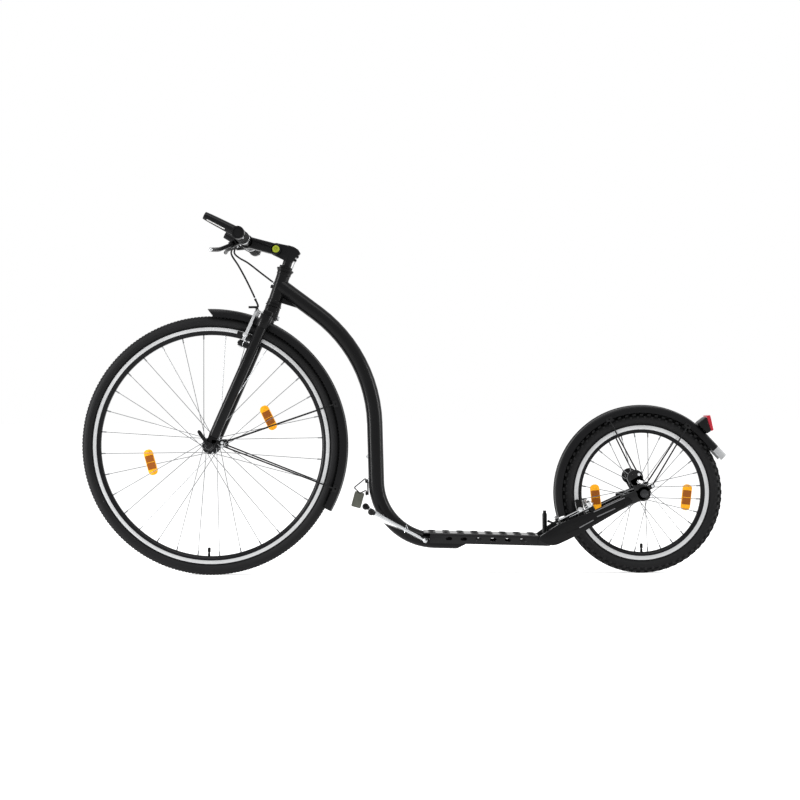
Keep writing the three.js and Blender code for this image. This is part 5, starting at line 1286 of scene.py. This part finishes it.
def tube_room():
    """The main tube and a hair more, as the deck sees it."""
    return moved(pipe(tube_route, tube_radius + 0.3, 40), seen_from(bike, deck))


def other_side(points):
    return [(-y, z) for y, z in points]


outer, inner = fold(100, 27, 2, 4.5)
section = outer + other_side(reversed(outer)) + other_side(inner) + inner[::-1]
sheet = run_along(section, 0, 286)
for side in (-1, 1):
    cheek = [(285, -27), (316, -27), (322, -22), (322, -6), (314, -0.6), (285, -0.6)]
    add(sheet, plate(cheek, *span(side, 48, 50), 0.3, 1))
add(sheet, block((18, 100, 2), (-8, 0, -1), 0.8))
centres = [(5 + k * 38, y) for k in range(8) for y in (-30, 30)] + [(5 + k * 38, 0) for k in range(3, 8)]
oval_outline = stadium(17, 9, 4.5, 8)
ovals = []
for k in range(6):
    ovals.append(plate([(50 + k * 39.1 + x, -14 + z) for x, z in oval_outline], -60, 60))
punches = [post((x, y, -6), (x, y, 6), 8, 24) for x, y in centres]
sheet = carved(sheet, *ovals, *punches, tube_room())
lip_profile = [
    (8, -2), (8, 1.1), (8.3, 1.8), (8.9, 2), (9.5, 1.7), (10, 0.9), (11.2, 0.2), (12.5, -0.2),
    (11, -1.2),
]
for x, y in centres:
    add(sheet, lathe(lip_profile, 28, (0, 0, 1)), Matrix.Translation((x, y, 0)))
add(sheet, carved(block((70, 97, 3), (185, 0, -25.5), 0.8), tube_room()))
finished("deck_pierced", sheet, deck, "frame", [deck_black], ("deck_plate",), 40)

# Rear arms: flat pressed box arms that rise to thick plates with the axle's slot, one on each side
# of the wheel. Three thin ribs run along each arm, painted light grey as a highlight on its edges,
# and a boss with a pin carries the brake arm.
arm_shares = [
    (1, 1), (0.77, 0.64), (0.488, 0.4), (0.16, 0.04), (0.09, 0.188), (0.643, 0.948), (0.847, 1.176),
]
arm_outline = [(-along * 287, -down * 119) for along, down in arm_shares]
arms_to_axle = seen_from(arms, rear_home)
lobe = (-23, 42)
# Runs of the three ribs that carry a painted highlight along the arm's top edge and side.
painted_highlight_runs = [
    ((-134, -47.5), (-52, -10.2)), ((-125.4, -60.1), (-77.2, -38.5)),
    ((-172, -89), (-134.6, -68.9)),
]
# Light grey of the ribs: a painted highlight where the arm's edges catch the light.
painted_highlight_grey = surface("painted_highlight_grey", (0.16, 0.16, 0.165), 0.3, 0.5, bump=0.02)
plate_steel = surface("plate_steel", (0.004, 0.004, 0.0045), 0.24, 0, bump=0.02, shine=0.2)


def softened(outline, radius, steps=4):
    """The outline with its corners rounded as far as their sides allow."""
    corners = [Vector((x, 0, z)) for x, z in outline]
    soft = []
    for before, corner, after in zip(corners[-1:] + corners[:-1], corners, corners[1:] + corners[:1]):
        into, out = (corner - before), (after - corner)
        reach = min(radius, into.length * 0.45, out.length * 0.45)
        a, b = corner - into.normalized() * reach, corner + out.normalized() * reach
        for k in range(steps + 1):
            t = k / steps
            point = a * (1 - t) ** 2 + corner * 2 * t * (1 - t) + b * t * t
            soft.append((point.x, point.z))
    return soft


for side, side_name in both_sides:
    arm = plate(softened(arm_outline, 26, 8), *span(side, 50.3, 64.3), 1.8, 3)
    channel = softened([(-212, -92), (-140, -62), (-52, -20), (-52, -30), (-150, -80), (-206, -104)], 6)
    arm = carved(arm, plate(channel, *span(side, 62, 70)))
    # Ribs in painted highlight grey along each arm's top edge and side.
    for start, end in painted_highlight_runs:
        add(arm, painted(plate(strip(start, end, 1.3), *span(side, 61, 65.2), 0.5), 2))
    low, high = span(side, 54.3, 60.3)
    drop = disc(0, 0, 19, low, high, 0.8, 48)
    add(drop, disc(*lobe, 21, low, high, 0.8, 48))
    add(drop, plate(strip((0, 0), lobe, 17), low, high, 0.8))
    add(drop, plate(strip((0, 0), (-56.8, -20.5), 15), low, high, 0.8))
    add(drop, plate(strip((0, 8), rear_eyes[1], 6), low, high, 0.8))
    for x, z in rear_eyes:
        add(drop, disc(x, z, 6, low, high, 0.8))
    cuts = []
    for (x, z), (dx, dz) in (((0, 0), (40, -12)), ((-14, 31), (17, -5))):
        cuts.append(disc(x, z, 5.3, low - 4, high + 4))
        cuts.append(plate(strip((x, z), (x + dx, z + dz), 5.3), low - 4, high + 4))
        if dx < 30:
            cuts.append(disc(x + dx, z + dz, 5.3, low - 4, high + 4))
    cuts += [disc(x, z, 2.3, low - 4, high + 4) for x, z in rear_eyes]
    add(arm, painted(carved(drop, *cuts), 1))
    stud = upright(stud_outline(16.8, 7.3), 28)
    moved(stud, Matrix.Translation((0, side * 53, 141)) @ Matrix.Rotation(math.pi / 2, 4, "Y"))
    add(arm, stud, arms_to_axle)
    finished(
        "rear_arm_pressed_" + side_name, arm, rear_home, "frame",
        [gloss_black, plate_steel, painted_highlight_grey], ("rear_arm_" + side_name,),
    )

# Cross tube: a round bar welded between the arms in front of the wheel, with the tab that the
# mudguard's front end lies on.
middle = around(math.radians(201), rear_guard)
cross = disc(middle.x, middle.z, 7, -50, 50, 0.6)
tab = guard_strip(
    [(230.2, -8), (231.7, -8), (231.7, 8), (230.2, 8)], math.radians(193), math.radians(201), 8,
)
bmesh.ops.holes_fill(tab, edges=open_edges(tab), sides=0)
add(cross, tab)
finished(
    "guard_cross_tube", cross, rear_home, "frame", [gloss_black], ("mudguard_bridge",),
)

# Post behind the deck: a turned steel pin on a flat plate between the deck's sides, narrower near
# its round top.
post_shape = block((26, 95, 4), (889, 0, 97), 0.8)
pin_profile = [
    (0, 97), (8, 99), (8, 101), (6.3, 103), (6.3, 158), (5.6, 160.6), (4.3, 161.2), (4.3, 163),
    (4.6, 163.6), (4.6, 166.6), (3.6, 168), (0, 168),
]
pin = upright(pin_profile, 40)
add(post_shape, pin, Matrix.Translation((889, 0, 0)))
finished("tail_pin", post_shape, bike, "frame", [gloss_black], ("tail_post",))

# Axles: steel bars through the hubs with locknuts and cones, washers and flange nuts outside the
# plates. The front one has a cupped end for its quick release.
nut_radius = 9.9
nut_reach = {"front": 9.3, "rear": 11.2}
bar_ends = {"front": (66, 69), "rear": (77.6, 77.6)}
dark_steel = surface("dark_steel", (0.035, 0.036, 0.038), 0.3, 0.6, grain=400, bump=0.01)


def hexagon(bm, low, high):
    add(bm, post((0, low, 0), (0, high, 0), nut_radius, 6, 0.9))


axles = (("front", front_home, "steering", 4.5, 54, 60), ("rear", rear_home, "frame", 5, 54.3, 60.3))
for name, home, body, radius, inner, outer in axles:
    left_end, right_end = bar_ends[name]
    bar = post((0, -left_end, 0), (0, right_end, 0), radius - 0.2, 24, 0.6)
    for side in (-1, 1):
        low, high = span(side, 47.4, inner - 0.4)
        add(bar, lathe([(4, low), (8.4, low), (8.4, high), (4, high)], 32))
        if name == "rear" or side > 0:
            low, high = span(side, outer + 0.4, outer + 2.3)
            add(bar, post((0, low, 0), (0, high, 0), 11, 14, 0.3))
            nut_end = outer + nut_reach[name]
            hexagon(bar, *span(side, outer + 2.3, nut_end))
    if name == "front":
        cup = [
            (0, -60.4), (10.6, -60.4), (11, -61), (11, -64.4), (9.8, -66.2), (5.4, -66.2),
            (5, -65.4), (0, -65.4),
        ]
        add(bar, lathe(cup, 40, closed=False))
    finished(name + "_axle_bar", bar, home, body, [dark_steel], (name + "_axle",))

# Quick-release lever: a cast black lever on a round cam that it swings on, folded in against the
# fork.
lever_angle = math.radians(33)
lever_way = Vector((-math.sin(lever_angle), 0, math.cos(lever_angle)))
cross_way = Vector((lever_way.z, 0, -lever_way.x))
centre = Vector((0, -73.6, 0))
cam = post(centre - cross_way * 8, centre + cross_way * 8, 7, 36, 0.8)
add(cam, post(centre - cross_way * 4.4, centre + cross_way * 4.4, 7.2, 36, 0.3))
outline = [
    (-5, 0), (-4.4, 20), (-5, 40), (-4.6, 46), (-3, 49.6), (0, 50.8), (3, 49.6), (4.6, 46), (5, 40),
    (4.4, 20), (5, 0),
]
handle = plate(outline, -75.6, -71.6, 1.2, 3)
add(cam, handle, Matrix.Rotation(-lever_angle, 4, "Y"))
finished(
    "quick_release_handle", cam, front_home, "qr_lever", [lever_plastic], ("qr_lever",),
)

# Stand: a bright steel pin through a black sleeve, with a bent leg on each side that ends in a
# black ball. A small wire catch is bent up from the near leg.
sleeve = lathe([(7.4, -22.3), (10.4, -22.3), (11, -21.7), (11, 21.7), (10.4, 22.3), (7.4, 22.3)], 40)
finished("stand_sleeve_tube", sleeve, stand, "frame", [gloss_black], ("stand_sleeve",))
leg_lengths = {-1: 162, 1: 181}


def leg_corners(side):
    """The end of the cross pin, the bend of the leg and the middle of its ball."""
    length = leg_lengths[side]
    spots = ((0, side * 29, 0), (-length * 0.3, side * 29, 0), (-length, side * 44, 0))
    return [Vector(spot) for spot in spots]


legs = disc(0, 0, 7, -29, 29, 0.4)
for side in (-1, 1):
    corners = leg_corners(side)
    add_ball(legs, 7, corners[0])
    add(legs, pipe(bent_route(corners, [60]), 3.6, 20))
hook = [Vector(spot) for spot in ((514.5, -32, 113), (519.8, -32, 134.5), (525.1, -32, 113))]
add(legs, moved(pipe(hook, 1.3, 12), seen_from(bike, stand)))
finished(
    "stand_legs_bent", legs, stand, "kickstand", [bright_steel], ("kickstand_legs",),
)
ball_black = surface("ball_black", (0.008, 0.008, 0.008), 0.45, 0, bump=0.04)
for side, side_name in both_sides:
    foot = bmesh.new()
    add_ball(foot, 9, (0, 0, 0), 32, 20)
    knee, centre = leg_corners(side)[1:]
    way = (knee - centre).normalized()
    collar = upright([(0, 0), (5.4, 0), (5.4, 10.2), (4.8, 11), (0, 11)], 24)
    add(foot, collar, turned_to((0, 0, 0), way))
    foot = carved(foot, post((0, 0, 0), way * 14, 3.9, 20))
    moved(foot, Matrix.Translation(centre))
    finished(
        "stand_ball_" + side_name, foot, stand, "kickstand", [ball_black],
        ("kickstand_foot_" + side_name,),
    )

# Keeper: a black clip riveted on the front of the main tube, with two eyes in which a wire gate
# swings. A grey plate hangs on the black gate.
keeper = place(joint["keeper_swing"]["pos_m"], math.radians(-1.3))
keeper_olive = surface("keeper_olive", (0.1, 0.103, 0.085), 0.4, 0.2, shade=0.45, bump=0.08)
clip = block((3.6, 10, 41), (3.7, 0, 16.5), 0.8)
for height in (0, 33):
    eye = lathe([(1.9, -4), (3.2, -4), (3.4, -3.8), (3.4, 3.8), (3.2, 4), (1.9, 4)], 24, (0, 0, 1))
    add(clip, eye, Matrix.Translation((0, 0, height)))
clip = carved(clip, post((0, 0, -20), (0, 0, 60), 1.85, 20))
finished("keeper_strap", clip, keeper, "frame", [box_black], ("keeper_clip",))
plate_lean = math.radians(17)
tag_height = 42
top_x, top_z = -18, 4
foot = (top_x - tag_height * math.sin(plate_lean), top_z - tag_height * math.cos(plate_lean))
tag = plate(softened(strip((top_x, top_z), foot, 13), 4), -0.8, 0.8, 0.3)
gates = [
    [(0, 0, -5.5), (0, 0, 9), (-18, 0, 1)],
    [(0, 0, 27.5), (0, 0, 42), (-33, 0, 16.5), (-18, 0, 1)],
]
for gate in gates:
    add(tag, painted(pipe(bent_route(gate, [3] * (len(gate) - 2)), 1.5, 12), 1))
finished(
    "keeper_tag", tag, keeper, "keeper", [keeper_olive, wire_black], ("keeper_plate",),
)
